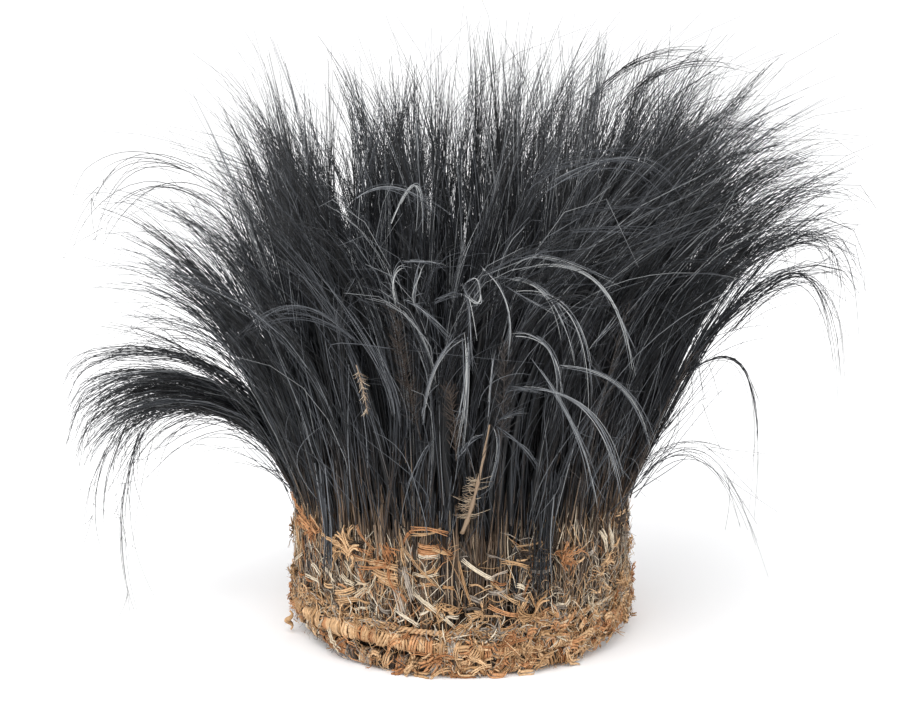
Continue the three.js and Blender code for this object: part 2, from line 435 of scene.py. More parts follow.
def feather_lines(number, rng, count):
    """Centre-lines of a bunch's feathers above the neck: radius, height, angle and lean by share."""
    place = ((np.arange(count) + rng.uniform(0.1, 0.9, count)) / count) ** 1.15
    start, end, growth, length = ray_rules(number, place)
    arched = number == ARCHED_BUNCH
    middle = (number - 0.5) * SECTOR
    beside_head = abs(math.cos(middle))
    leftward = max(math.cos(middle), 0)
    start = start + tufted(rng, 1.0 if arched else 3.5, count)
    end_tufts = tufted(rng, 15.0, count)
    full = 0.55 * rng.uniform(0, 1, count)[np.arange(count) // 4] + 0.45 * rng.uniform(0, 1, count)
    if arched:
        end = end + tufted(rng, 2.5, count)
        length = length * (0.78 + 0.32 * rng.uniform(0, 1, count))
    else:
        end = end - 4 + end_tufts - 14 * place * beside_head
        length = length * (0.75 + 0.31 * full**0.6) * (1 + 0.11 * leftward * place)
    growth = growth + (0.2 * beside_head + 0.8 * leftward) * place
    if abs(number - ARCHED_BUNCH) == 1:  # its neighbours' outer feathers lean over towards it
        start, end = start + 6 * place**1.5, end + 22 * place**1.5
    curl = np.abs(tufted(rng, 36, count)) * (0.45 + 0.6 * place + 0.6 * leftward * (1 - place))
    curl = curl * (0.3 if arched else 1)
    bend = (end - start)[:, None] * SHARES ** growth[:, None]
    lean = start[:, None] + bend + curl[:, None] * SHARES**3.4
    lean = np.radians(np.minimum(lean, 170))
    step = (SHARES[1] - SHARES[0]) * length[:, None]
    root = band_radius(middle, FOOT_MIDDLE) + (place - 0.5) * 8.0
    radius = root[:, None] + np.cumsum(np.sin(lean) * step, axis=1) - np.sin(lean[:, :1]) * step
    height = NECK_TOP + np.cumsum(np.cos(lean) * step, axis=1) - np.cos(lean[:, :1]) * step
    side = np.where(np.arange(count) % 2, 1, -1) * rng.uniform(0.05, 1.0, count)
    fullness = np.sqrt(1 - 0.75 * (2 * place - 1) ** 2)
    near = side * 11.5 * fullness**0.3 / root  # angle off the bunch's middle at the neck
    far = np.clip(0.4 * side + tufted(rng, 0.62, count), -1.1, 1.1) * SECTOR * 0.56 * fullness**0.4
    rise = np.clip(SHARES, 0, 1.15)
    # The plumage is swept towards the two sides of the head, more so to the left, and every feather
    # wanders.
    leftwards = 0.12 if math.sin(middle) < 0 else 0.04
    sweep = -0.13 * math.sin(2 * middle) - leftwards * math.sin(middle) * (1 + math.cos(middle))
    wander = rng.normal(0, 0.055, count)[:, None] * np.sin(rng.uniform(1.5, 4.5, (count, 1)) * rise)
    hook = tufted(rng, 0.17, count) * np.where(rng.uniform(0, 1, count) < 0.25, 2.0, 1.0)
    hooked = (sweep + hook)[:, None] * rise**2.6
    loose = 0.4 if arched else 1.0
    angle = middle + near[:, None] + (far - near)[:, None] * rise**0.8 + loose * (wander + hooked)
    return {
        "radius": radius,
        "height": height,
        "angle": angle,
        "lean": lean,
        "length": length,
        "side": side,
        "place": place,
        "shade": DARKER.get(number, 0.0),
        "brown": 0.22 + 0.01 * HIGH_QUILLS.get(number, LOW_QUILLS),
    }


print("each centre-line has", len(SHARES), "points, 1.4 times the length of its ray")

# %% [markdown]
# Barbs and shafts follow these lines at some distance. `along_feather` gives places beside them, and
# `keep_in_room` eases in the few that would grow past the plumage's real height and spread.


# %% Places along a feather
def pick(values, feather_index, share):
    """Read a centre-line's values at any share, by linear interpolation."""
    where = np.clip(share / (SHARES[1] - SHARES[0]), 0, len(SHARES) - 1.001)
    low = where.astype(int)
    rest = where - low
    rows = feather_index[:, None]
    return values[rows, low] * (1 - rest) + values[rows, low + 1] * rest


def along_feather(lines, which, share, sideways, outwards):
    """Points beside centre-lines: sideways round the band, outwards square to the feather."""
    lean = pick(lines["lean"], which, share)
    radius = pick(lines["radius"], which, share) + outwards * np.cos(lean)
    height = pick(lines["height"], which, share) - outwards * np.sin(lean)
    angle = pick(lines["angle"], which, share)
    level = outward(angle) * radius[..., None] + across(angle) * sideways[..., None]
    return level + UP * height[..., None]


ROOM_HEIGHT = 322  # above it and past ROOM_REACH a barb is eased back
ROOM_REACH = 186
ROOM_OVAL = 1.12  # the plumage is that much wider than deep


def keep_in_room(paths):
    """Ease barbs that run on past the CAD box back towards it."""
    over = np.maximum(paths[..., 2] - ROOM_HEIGHT, 0)
    paths[..., 2] = np.clip(paths[..., 2] - over + 22 * np.tanh(over / 30), 4.0, None)
    reach = np.hypot(paths[..., 0] / ROOM_OVAL, paths[..., 1])
    over = np.maximum(reach - ROOM_REACH, 0)
    paths[..., :2] *= ((reach - over + 19 * np.tanh(over / 32)) / reach)[..., None]
    return paths


print("room for barbs:", ROOM_HEIGHT, "mm high,", ROOM_REACH, "mm out")

# %% [markdown]
# A barb leaves its shaft at one share of the feather's length and ends at another. Barbs that end early
# stand off furthest, so each feather narrows to a point. These feathers have no hooks that zip the barbs
# together, which is why the plumage looks like hair.

# %% Barbs
BARBS = 552  # in a bunch
BARB_POINTS = 6


def barbs(lines, rng, count):
    """Loose barbs. One in seven runs wild, and few are bound to the feather beyond its last third."""
    which = rng.integers(0, len(lines["length"]), count)
    early = rng.uniform(0, 1, count) < 0.62
    begin = np.where(early, 0.28 * rng.uniform(0, 1, count) ** 2.2, rng.uniform(0.2, 0.62, count))
    end = np.where(early, rng.uniform(0.5, 0.98, count), rng.uniform(0.72, 1.04, count))
    wild = rng.uniform(0, 1, count) < 0.14
    end = np.where(wild, end + rng.uniform(0.0, 0.18, count), end)
    step = np.linspace(0, 1, BARB_POINTS) ** 0.85
    share = begin[:, None] + (end - begin)[:, None] * step
    reach = (1.2 + 7.5 * np.clip(1.06 - end, 0, 1)) * rng.uniform(0.15, 1.2, count)
    turn = rng.uniform(0, 2 * math.pi, count)
    leave = reach[:, None] * (1 - np.exp(-3.2 * step))
    flare = rng.normal(0, np.where(wild, 15.0, 2.2), count)[:, None] * step**2.5
    drop = rng.normal(np.where(wild, 6.0, 1.0), np.where(wild, 14.0, 3.0), count)[:, None] * step**2.2
    waves = math.pi * step * rng.uniform(0.8, 2.4, (count, 1)) + rng.uniform(0, 6, (count, 1))
    sway = rng.normal(0, np.where(wild, 3.5, 1.5))[:, None] * np.sin(waves) * step
    sideways = leave * np.cos(turn)[:, None] + flare + sway
    outwards = leave * np.sin(turn)[:, None] + drop
    paths = keep_in_room(along_feather(lines, which, share, sideways, outwards))
    radii = np.where(wild, 0.18, rng.uniform(0.16, 0.31, count))[:, None] * (1 - 0.58 * step**2.4)
    of_feather = rng.normal(-0.03, 0.16, len(lines["length"])) + lines["shade"]
    tone = np.clip(rng.uniform(0, 1, count) ** 1.08 + of_feather[which], 0, 1)
    brown_base = rng.uniform(0, 1, (count, 1)) < lines["brown"]
    along = np.where(brown_base, 0.26, 0.44) + 0.5 * np.clip(share, 0, 1.1)
    beside = across(pick(lines["angle"], which, share[:, :1]))
    return tubes(paths, radii, tone * 0.945, along, beside)


print("barbs in all bunches:", BARBS * len(bunches))

# %% [markdown]
# Some fine hairs have worked loose. They cross over the neighbouring bunches and soften their edges.

# %% Stray hairs
STRAYS = 24  # in a bunch


def strays(lines, rng, count):
    """Long fine hairs that leave the outside of a bunch and cross over its neighbours."""
    points = 11
    which = rng.integers(len(lines["length"]) // 3, len(lines["length"]), count)
    begin = 0.02 + 0.58 * rng.uniform(0, 1, (count, 1)) ** 1.6
    end = begin + rng.uniform(0.25, 0.62, (count, 1))
    step = np.linspace(0, 1, points)
    share = begin + (end - begin) * step
    sideways = rng.normal(0, 4, (count, 1)) + rng.normal(0, 20, (count, 1)) * step**1.7
    sideways = sideways + rng.normal(0, 3, (count, 1)) * np.sin(5 * step)
    outwards = 5 + rng.uniform(2, 26, (count, 1)) * np.sin(2.2 * step)
    outwards = outwards + rng.normal(0, 8, (count, 1)) * step**2
    paths = keep_in_room(along_feather(lines, which, share, sideways, outwards))
    paths[..., 2] -= rng.uniform(0, 26, (count, 1)) * step**3
    radii = rng.uniform(0.17, 0.27, (count, 1)) * (1 - 0.7 * step**1.5)
    # Stray hairs are mostly light grey, in the painted highlight greys of the feather.
    tone = rng.uniform(0.35, 0.95, count)
    beside = across(pick(lines["angle"], which, share[:, :1]))
    paths[..., 2] = np.maximum(paths[..., 2], 8.0)
    return tubes(paths, radii, tone, 0.5 + 0.4 * share, beside)


print("stray hairs in all bunches:", STRAYS * len(bunches))

# %% [markdown]
# At the necks the bunches touch, and short dark down closes the gaps between them. Further in, the lower
# part of each feather is a close dark web along its shaft.

# %% Down and webs
DOWN, WEBS = 74, 9  # in a bunch


def down(number, rng, count):
    """Short dark barbs that close the gaps between the necks of neighbouring bunches."""
    points = 4
    middle = (number - 0.5) * SECTOR
    step = np.linspace(0, 1, points)
    x = rng.choice([-1, 1], (count, 1)) * 13 * rng.uniform(0, 1, (count, 1)) ** 0.6
    x = x + rng.normal(0, 4, (count, 1)) * step
    height = rng.uniform(66, 122, (count, 1)) + rng.uniform(20, 62, (count, 1)) * step
    out = rng.uniform(-7, 1.5, (count, 1)) + 0.16 * np.maximum(height - NECK_TOP, 0)
    out = out + rng.normal(0, 2, (count, 1)) * step**2
    paths = on_band(np.full((count, 1), middle), x, height, out)
    radii = rng.uniform(0.2, 0.4, (count, 1)) * np.array([0.9, 1, 0.8, 0.3])
    tone = rng.uniform(0.1, 0.9, count) ** 1.3
    along = np.tile(np.linspace(0.24, 0.56, points), (count, 1)) + rng.uniform(0, 0.25, (count, 1))
    return tubes(paths, radii, tone, along, across(np.array([middle])))


def webs(lines, rng, count):
    """Thin dark webs along the lower part of some shafts, deep in the bunch."""
    which = rng.choice(len(lines["length"]), count, replace=False)
    share = np.tile(np.linspace(0.0, 0.58, 9), (count, 1))
    zero = np.zeros_like(share)
    paths = along_feather(lines, which, share, rng.uniform(-5, 5, (count, 1)) + zero, zero - 2.0)
    radii = rng.uniform(2.4, 3.8, (count, 1)) * np.array([0.5, 0.8, 1, 1, 1, 0.95, 0.85, 0.6, 0.12])
    beside = across(lines["angle"][which][:, :1])
    return tubes(paths, radii, np.full(count, 0.12), 0.45 + 0 * share, beside, sides=4, flat=0.06)


print("down and webs in all bunches:", (DOWN + WEBS) * len(bunches))

# %% [markdown]
# The shafts stand in the foot of the bunch, pass the neck and stiffen the lower part of each feather.


# %% Shafts
def shafts(lines, rng):
    """Each shaft stands in the foot, passes the neck and runs up two thirds of its feather."""
    count = len(lines["length"])
    which = np.arange(count)
    share = np.tile(np.linspace(0, 0.68, 7), (count, 1))
    upper = along_feather(lines, which, share, np.zeros_like(share), np.zeros_like(share))
    angle = lines["angle"][:, :1]
    heights = np.array([FOOT_BOTTOM, 40.0, 58.0])
    spread = lines["side"][:, None] * np.array([9.0, 8.5, 7.0]) + rng.normal(0, 0.8, (count, 3))
    depth = (lines["place"][:, None] - 0.5) * 5.2
    middle = np.full((count, 3), np.mean(angle))
    foot_radius = band_radius(middle, FOOT_MIDDLE) + depth
    lower = outward(middle) * foot_radius[..., None] + across(middle) * spread[..., None]
    lower[..., 2] = heights
    paths = np.concatenate([lower, upper], axis=1)
    thickness = rng.uniform(0.5, 0.85, count)[:, None]
    taper = np.concatenate([[1.0, 1.0, 0.9], np.linspace(0.8, 0.2, 7)])
    tone = rng.uniform(0.1, 1, count) ** 1.3
    along = np.concatenate([[0.0, 0.08, 0.16], np.linspace(0.2, 0.8, 7)])
    return tubes(paths, thickness * taper, tone * 0.98, np.tile(along, (count, 1)), across(angle))


FEATHERS = 25  # in a bunch
print("shafts in all bunches:", FEATHERS * len(bunches))

# %% [markdown]
# Below the neck the quills show on the outside of the band, bound into two narrow bundles for each bunch
# with a gap between them. The quills are painted darker towards each bundle's flanks, as painted shade
# that darkens the gap. A few feet are of black quills, and in some bunches brown ones stand high up into
# the black.

# %% Quills in the feet
FOOT_QUILLS = 90  # in a bunch
BUNDLE_OFFSET = 6.2  # of each bundle's middle from the bunch's
BLACK_FEET = {4: 0.7, 9: 0.6, 14: 0.6, 20: 0.6}  # share of a foot's quills that are black


def foot_quills(number, rng, count):
    """Fine upright quills and split fibre that round a foot out to two bundles."""
    points = 5
    middle = np.full(count, (number - 0.5) * SECTOR)
    beside = rng.uniform(-5.8, 5.8, (count, 1))
    crown = np.sqrt(np.clip(1 - (beside / 6.1) ** 2, 0.02, 1))
    bundle = rng.choice([-BUNDLE_OFFSET, BUNDLE_OFFSET], (count, 1))
    x = bundle + beside + rng.normal(0, 0.6, (count, points))
    out = -4.0 + 4.6 * crown - rng.uniform(0, 1.6, (count, 1)) ** 1.5 + rng.normal(0, 0.3, (count, points))
    low = rng.uniform(18, 34, (count, 1))
    high = rng.uniform(50, 84, (count, 1))
    high = high + HIGH_QUILLS.get(number, LOW_QUILLS) * rng.uniform(0, 1, (count, 1))
    height = low + (high - low) * np.linspace(0, 1, points)
    out = out + 0.12 * np.maximum(height - 70, 0)
    paths = on_band(middle[:, None], x, height, out)
    radii = rng.uniform(0.18, 0.62, (count, 1)) ** 1.2 * np.array([0.8, 1, 1, 0.9, 0.4])
    # Painted shade: a quill's tone falls from the crown of its bundle towards its flanks.
    tone = rng.uniform(0.1, 1.0, count) * (0.5 + 0.5 * crown[:, 0])
    black = rng.uniform(0, 1, (count, 1)) < BLACK_FEET.get(number, 0.16)
    along = np.where(black, 0.45, 0.0) + np.linspace(0.0, 0.26, points)
    tone = tone * np.where(black[:, 0], 0.75, 0.98)
    return tubes(paths, radii, tone, along, across(middle)[:, None])


print("quills in all feet:", FOOT_QUILLS * len(bunches))

# %% [markdown]
# ## Feather bunches
#
# Now every bunch is put together from these parts. It takes the place of its plain solid, with which it
# shares the foot, the neck and the outline of the fan.

# %% Feather bunches
total = 0
for number, node in enumerate(bunches, start=1):
    rng = np.random.default_rng(4000 + number)
    lines = feather_lines(number, rng, FEATHERS)
    parts = [
        shafts(lines, rng),
        foot_quills(number, rng, FOOT_QUILLS),
        barbs(lines, rng, BARBS),
        strays(lines, rng, STRAYS),
        down(number, rng, DOWN),
        webs(lines, rng, WEBS),
    ]
    piece = join(f"plumage_{number:02d}", parts, feather)
    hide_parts(node)
    total += triangles(piece)
print("plumage:", total, "triangles")

# %% [markdown]
# ## Drooping feathers
#
# Some feathers hang out of the mass in long arcs, and they give the headdress its own face. Nothing but a
# table can say where they are, because no rule holds for them. The first rows are the pale ones at the
# front, painted light grey as painted highlights, and the last ones are those that hang at both sides and
# reach over the top.
#
# Each row gives where a feather leaves the mass, the crest of its arc and its tip, as (x, forward,
# height). Then come `loose`, how many barbs have come loose, `spread`, how far these part at the tip,
# `tone`, how light they are painted, a painted highlight that is lightest at the front, and `core`, the
# half thickness of the barbs that still cling together.

# %% Where feathers droop
# tone is painted light: light grey at the front as painted highlights, darker at the sides and back.
DROOPING = [
    # (root, crest, tip, loose, spread, tone, core)
    ((24, 159, 231), (40, 165, 240), (77, 169, 226), 2, 2, 0.95, 0.4),
    ((28, 159, 232), (64, 167, 229), (83, 169, 188), 3, 2, 0.97, 0.5),
    ((22, 157, 228), (43, 163, 219), (55, 167, 188), 3, 2, 0.94, 0.5),
    ((27, 155, 220), (54, 163, 209), (64, 165, 162), 2, 3, 0.93, 0.45),
    ((9, 161, 235), (22, 163, 215), (22, 163, 187), 2, 2, 0.93, 0.5),
    ((20, 159, 225), (33, 163, 218), (48, 165, 210), 1, 2, 0.9, 0.3),
    ((25, 151, 199), (43, 157, 192), (49, 159, 166), 3, 3, 0.9, 0.35),
    ((34, 138, 184), (57, 144, 148), (67, 146, 110), 3, 3, 0.9, 0.35),
    ((21, 130, 165), (61, 142, 159), (79, 148, 116), 4, 3, 0.95, 0.75),
    ((47, 138, 179), (79, 146, 170), (95, 148, 136), 3, 3, 0.86, 0.4),
    ((-20, 122, 145), (-13, 140, 180), (2, 150, 200), 4, 2, 0.95, 0.8),
    ((1, 157, 201), (2, 155, 177), (-3, 155, 142), 7, 3, 0.93, 0.3),
    ((0, 165, 227), (4, 163, 209), (5, 159, 180), 2, 2, 0.9, 0.3),
    ((-15, 163, 217), (-6, 167, 222), (0, 167, 221), 2, 2, 0.86, 0.2),
    ((-32, 163, 216), (-33, 169, 231), (-27, 171, 238), 2, 1.2, 0.97, 0.3),
    ((-23, 163, 215), (-22, 169, 229), (-19, 171, 237), 2, 1.2, 0.97, 0.35),
    ((-29, 169, 239), (-19, 171, 239), (-7, 171, 237), 2, 1.5, 0.9, 0.2),
    ((1, 167, 227), (7, 169, 230), (9, 169, 222), 2, 0.8, 0.97, 0.3),
    ((9, 169, 223), (7, 169, 218), (1, 167, 222), 2, 0.8, 0.97, 0.3),
    ((-28, 163, 218), (-19, 163, 213), (-7, 159, 198), 2, 1.5, 0.92, 0.3),
    ((13, 126, 148), (15, 136, 174), (17, 142, 190), 1, 1, 0.9, 0.4),
    ((16, 126, 144), (18, 128, 127), (11, 126, 102), 4, 3, 0.86, 0.35),
    ((18, 126, 145), (30, 132, 137), (40, 136, 125), 2, 2, 0.8, 0.25),
    ((11, 124, 140), (3, 126, 136), (-3, 126, 127), 2, 2, 0.8, 0.25),
    ((20, 130, 164), (28, 134, 167), (42, 140, 167), 5, 4, 0.82, 0.2),
    ((18, 126, 148), (26, 130, 152), (34, 132, 153), 3, 3, 0.8, 0.2),
    ((50, 112, 102), (59, 126, 138), (73, 140, 165), 2, 3, 0.8, 0.2),
    ((62, 159, 192), (69, 163, 202), (77, 165, 212), 1, 1, 0.85, 0.2),
    ((63, 112, 103), (75, 124, 132), (94, 132, 158), 2, 3, 0.7, 0.2),
    ((-14, 122, 138), (-23, 120, 120), (-29, 112, 91), 3, 4, 0.8, 0.2),
    ((-52, 134, 189), (-81, 148, 211), (-113, 150, 197), 3, 4, 0.82, 0.3),
    ((-46, 134, 186), (-76, 148, 206), (-106, 150, 200), 2, 5, 0.78, 0.2),
    ((-34, 120, 147), (-46, 138, 188), (-74, 158, 236), 3, 6, 0.76, 0.25),
    ((-31, 120, 142), (-40, 138, 179), (-59, 152, 216), 3, 6, 0.74, 0.2),
    ((-35, 172, 257), (-22, 178, 277), (-19, 178, 251), 2, 3, 0.94, 0.25),
    ((-55, 172, 266), (-34, 178, 276), (-9, 180, 262), 2, 3, 0.9, 0.25),
    ((32, 172, 269), (76, 180, 289), (112, 184, 269), 3, 5, 0.8, 0.3),
    ((27, 172, 275), (62, 180, 290), (107, 184, 280), 3, 7, 0.7, 0.25),
    ((37, 164, 249), (67, 172, 256), (108, 178, 255), 3, 5, 0.72, 0.2),
    ((39, 164, 254), (75, 172, 265), (113, 178, 262), 3, 6, 0.66, 0.2),
    ((91, 90, 203), (116, 100, 190), (125, 104, 137), 3, 6, 0.5, 0.2),
    ((104, 50, 138), (150, 50, 160), (159, 60, 82), 4, 3, 0.4, 0.5),
    ((92, 60, 92), (127, 72, 116), (157, 80, 70), 3, 5, 0.7, 0.2),
    ((92, 50, 92), (118, 62, 120), (150, 70, 106), 3, 8, 0.6, 0.2),
    ((142, 10, 158), (192, 10, 198), (215, 10, 108), 10, 8, 0.4, 0.45),
    ((150, -20, 190), (205, -20, 212), (222, -20, 150), 8, 10, 0.4, 0.3),
    ((-174, 30, 124), (-189, 30, 62), (-182, 30, 5), 2, 4, 0.4, 0.3),
    ((-180, 20, 134), (-202, 20, 88), (-206, 20, 53), 5, 8, 0.4, 0.25),
    ((-164, 20, 130), (-188, 20, 92), (-193, 20, 56), 6, 10, 0.4, 0.2),
    ((-105, 20, 140), (-150, 20, 176), (-190, 20, 170), 8, 9, 0.4, 0.3),
    ((-106, 0, 128), (-150, 0, 162), (-186, 0, 152), 8, 9, 0.4, 0.3),
    ((-110, 20, 124), (-178, 20, 142), (-216, 10, 104), 9, 10, 0.35, 0.3),
    ((-110, 20, 110), (-152, 20, 122), (-194, 20, 82), 5, 10, 0.45, 0.2),
    ((-116, 0, 236), (-176, 0, 264), (-210, 0, 226), 5, 8, 0.4, 0.2),
    ((-110, 10, 214), (-160, 10, 250), (-206, 10, 214), 4, 9, 0.4, 0.2),
    ((82, -10, 284), (116, -10, 314), (160, -10, 311), 6, 4, 0.3, 0.4),
    ((70, -20, 292), (104, -20, 318), (140, -20, 317), 5, 4, 0.3, 0.3),
]


def arc(root, crest, tip, t):
    """Points on the curve that passes through three places, given as (x, forward, height)."""
    root, crest, tip = (np.asarray(place, dtype=float) * [1, -1, 1] for place in (root, crest, tip))
    return (1 - t) ** 2 * root + 2 * t * (1 - t) * (2 * crest - (root + tip) / 2) + t**2 * tip


print("drooping feathers:", len(DROOPING))

# %% [markdown]
# Each of them is drawn as one thicker core, some loose barbs beside it and a little fuzz that stands off.
# All three follow the same arc, a curve through the three places of the row.

# %% A drooping feather
FRONT_EDGE = np.array([0.1, 1.0, 0.15])  # a direction that no drooping feather runs along
FUZZ = 11


def loose_barbs(rng, root, crest, tip, loose, spread, tone, core):
    """The core and the loose barbs of a drooping feather."""
    points, count = 14, loose + 2

    def stray(share):
        return rng.normal(0, 1, (count, 1, 3)) * spread * share

    start = rng.uniform(0, 0.3, (count, 1))
    end = rng.uniform(0.72, 1.06, (count, 1))
    t = (start + (end - start) * np.linspace(0, 1, points))[..., None]
    paths = arc(root, crest, tip, t)
    paths = paths + stray(0.25) * (1 - t) + stray(0.35) * 2 * t * (1 - t) + stray(1.0) * t**2
    paths[..., 2] = np.maximum(paths[..., 2], 6.0)
    radii = rng.uniform(0.14, 0.28, (count, 1)) * (1 - 0.7 * np.linspace(0, 1, points) ** 2)
    t = np.linspace(0, 1, points)
    core_path = arc(root, crest, tip, t[:, None])[None]
    core_path = core_path + rng.normal(0, 0.5, 3) * np.sin(7 * t[:, None])
    core_radii = 0.7 * core * (0.25 + 0.75 * np.sin(math.pi * t**0.8))[None] * (1 - 0.6 * t**3)
    paths = np.concatenate([core_path, paths])
    radii = np.concatenate([core_radii, radii])
    tone = np.clip(tone + rng.normal(0, 0.07, count + 1), 0.05, 0.98)
    along = np.tile(np.linspace(0.5, 1, points), (count + 1, 1))
    return tubes(keep_in_room(paths), radii, tone, along, FRONT_EDGE)


def fuzz(rng, root, crest, tip, spread, tone):
    """Short fine barbs that stand off a drooping feather."""
    step = np.linspace(0, 1, 4)
    t = rng.uniform(0.05, 0.9, (FUZZ, 1)) + rng.uniform(0.06, 0.2, (FUZZ, 1)) * step
    paths = arc(root, crest, tip, t[..., None])
    away = rng.normal(0, 1, (FUZZ, 1, 3)) * (2.5 + spread)
    paths = paths + away * step[None, :, None] ** 1.4
    radii = rng.uniform(0.1, 0.17, (FUZZ, 1)) * (1 - 0.5 * step)
    tone = np.clip(tone - rng.uniform(0.02, 0.2, FUZZ), 0.05, 0.98)
    return tubes(keep_in_room(paths), radii, tone, 0.6 + 0.2 * t, FRONT_EDGE)


rng = np.random.default_rng(31)
hanging = []
for root, crest, tip, loose, spread, tone, core in DROOPING:
    hanging.append(loose_barbs(rng, root, crest, tip, loose, spread, tone, core))
    hanging.append(fuzz(rng, root, crest, tip, spread, tone))
print("batches of drooping barbs:", len(hanging))

# %% [markdown]
# ## Stiff feathers
#
# Others keep a stiff shaft with short barbs on both sides. One at the front is torn: its thick pale quill
# is bare but for some barbs at one side. `thick` is half a shaft's thickness, `barb` the barbs' length at
# the root and at the tip, and `brown` is V: 0.2 is pale brown and 0.45 grey.

# %% Stiff feathers
VANED = [
    # (root, crest, tip, thick, barb, count, tone, brown, torn)
    ((-21, 118, 136), (-28, 134, 174), (-34, 152, 213), 0.35, (9, 8), 190, 0.36, 0.34, False),
    ((-3, 118, 125), (-4, 126, 147), (-7, 134, 169), 0.3, (8, 6), 110, 0.5, 0.33, False),
    ((0, 99, 80), (7, 109, 105), (14, 126, 146), 1.5, (8, 5), 90, 0.8, 0.2, True),
    ((19, 122, 131), (21, 130, 158), (21, 144, 194), 0.35, (10, 7), 110, 0.55, 0.36, False),
    ((-53, 138, 180), (-50, 136, 168), (-48, 131, 153), 0.3, (5, 3), 50, 0.88, 0.26, False),
    ((62, 96, 84), (70, 120, 150), (84, 140, 214), 0.4, (12, 8), 80, 0.4, 0.36, False),
    ((92, 46, 84), (104, 54, 124), (124, 62, 170), 0.5, (10, 6), 60, 0.5, 0.34, False),
]


def vaned_feather(rng, root, crest, tip, thick, barb, count, tone, brown, torn):
    t = np.linspace(0, 1, 16)
    shaft = arc(root, crest, tip, t[:, None])[None]
    radii = thick * (1 - 0.6 * t)[None] * (1 + 0.3 * torn * np.sin(31 * t**0.8))
    beside = np.array([1.0, 0.1, 0.15]) if torn else FRONT_EDGE
    flat = 0.5 if torn else 1
    quill = tubes(shaft, radii, np.array([tone]), np.full((1, 16), brown), beside, sides=5, flat=flat)
    step = np.linspace(0, 1, 4)
    at = rng.uniform(0.22, 0.62, (count, 1)) if torn else rng.uniform(0.12, 0.98, (count, 1))
    side = np.where(np.arange(count) % (8 if torn else 2), -1, 1)[:, None]
    long = (barb[0] + (barb[1] - barb[0]) * at) * rng.uniform(0.4, 1.2, (count, 1))
    height = np.linalg.norm(shaft[0, -1] - shaft[0, 0])
    climb = 0.15 if torn else 0.8
    spots = arc(root, crest, tip, (at + climb * long / height * step**0.8)[..., None])
    away = np.stack([side * long * step**0.8, -0.2 * long * step, 0.1 * long * step**2], axis=-1)
    paths = spots + away * (0.55 + 0.4 * torn + rng.normal(0, 0.16, (count, 1, 1)))
    paths = paths + rng.normal(0, 1.8 if torn else 0.9, (count, 1, 3)) * step[None, :, None] ** 1.5
    radii = rng.uniform(0.12, 0.22, (count, 1)) * (1 - 0.6 * step)
    tone = np.clip(tone + 0.14 * torn + rng.normal(0, 0.1, count), 0.05, 0.98)
    return [quill, tubes(paths, radii, tone, np.full((count, 4), brown), FRONT_EDGE)]


vaned = [batch for row in VANED for batch in vaned_feather(rng, *row)]
print("stiff feathers:", len(VANED))

# %% [markdown]
# Here and there black barbs hang down over the band. These, the stiff feathers and the drooping ones make
# one piece, because they have no solid of their own in the CAD model.

# %% Barbs over the band
OVER_BAND = [
    # (degrees round it, lowest height, how many)
    (223, 40, 30),
    (296, 32, 34),
    (264, 62, 14),
    (200, 60, 14),
    (40, 44, 30),
    (100, 50, 30),
]


def hanging_barbs(rng, degrees, low, count):
    step = np.linspace(0, 1, 6)
    x = rng.normal(0, 4.2, (count, 1)) * (1 - 0.5 * step) + rng.normal(-1, 3.0, (count, 1)) * step**2
    height = rng.uniform(90, 114, (count, 1)) * (1 - step) + (low + rng.uniform(0, 26, (count, 1))) * step
    out = 2.2 + rng.uniform(0, 2.2, (count, 1)) + 0.14 * np.maximum(height - NECK_TOP, 0)
    angle = np.full((count, 1), math.radians(degrees))
    paths = on_band(angle, x, height, out)
    radii = rng.uniform(0.2, 0.42, (count, 1)) * (1 - 0.6 * step**2)
    return tubes(paths, radii, rng.uniform(0.1, 0.95, count), np.full((count, 6), 0.6), across(angle))


over_band = [hanging_barbs(rng, *row) for row in OVER_BAND]
drooping = join("drooping_feathers", hanging + vaned + over_band, feather)
print("drooping feathers:", triangles(drooping), "triangles")

# %% [markdown]
# ## Dry plant fibre
#
# The band, from the inside outwards, is a twined inner wall, the feet of the feathers, two thick wrapped
# cords round the foot, straps round the bundles, and loose frayed fibre over everything.
#
# All of it is split stems, bark and leaf, stripped and dried by hand. That leaves a matt surface with fine
# grooves along each fibre, in dark brown, grey-brown, golden tan, orange-brown and straw. One material
# serves them all: U picks the kind of fibre, and streaks run along V. A real groove is a few hundredths of
# a millimetre wide and wouldn't show, so one or two streaks go round each fibre here.

# %% Dry plant fibre
FIBRES = {  # the tones of each kind
    "dark": (0.0, 0.17),
    "grey": (0.2, 0.38),
    "gold": (0.42, 0.62),
    "orange": (0.66, 0.8),
    "straw": (0.84, 0.99),
}
STREAKS_ROUND, STREAKS_ALONG = 240.0, 9.0  # for a whole U and a whole V


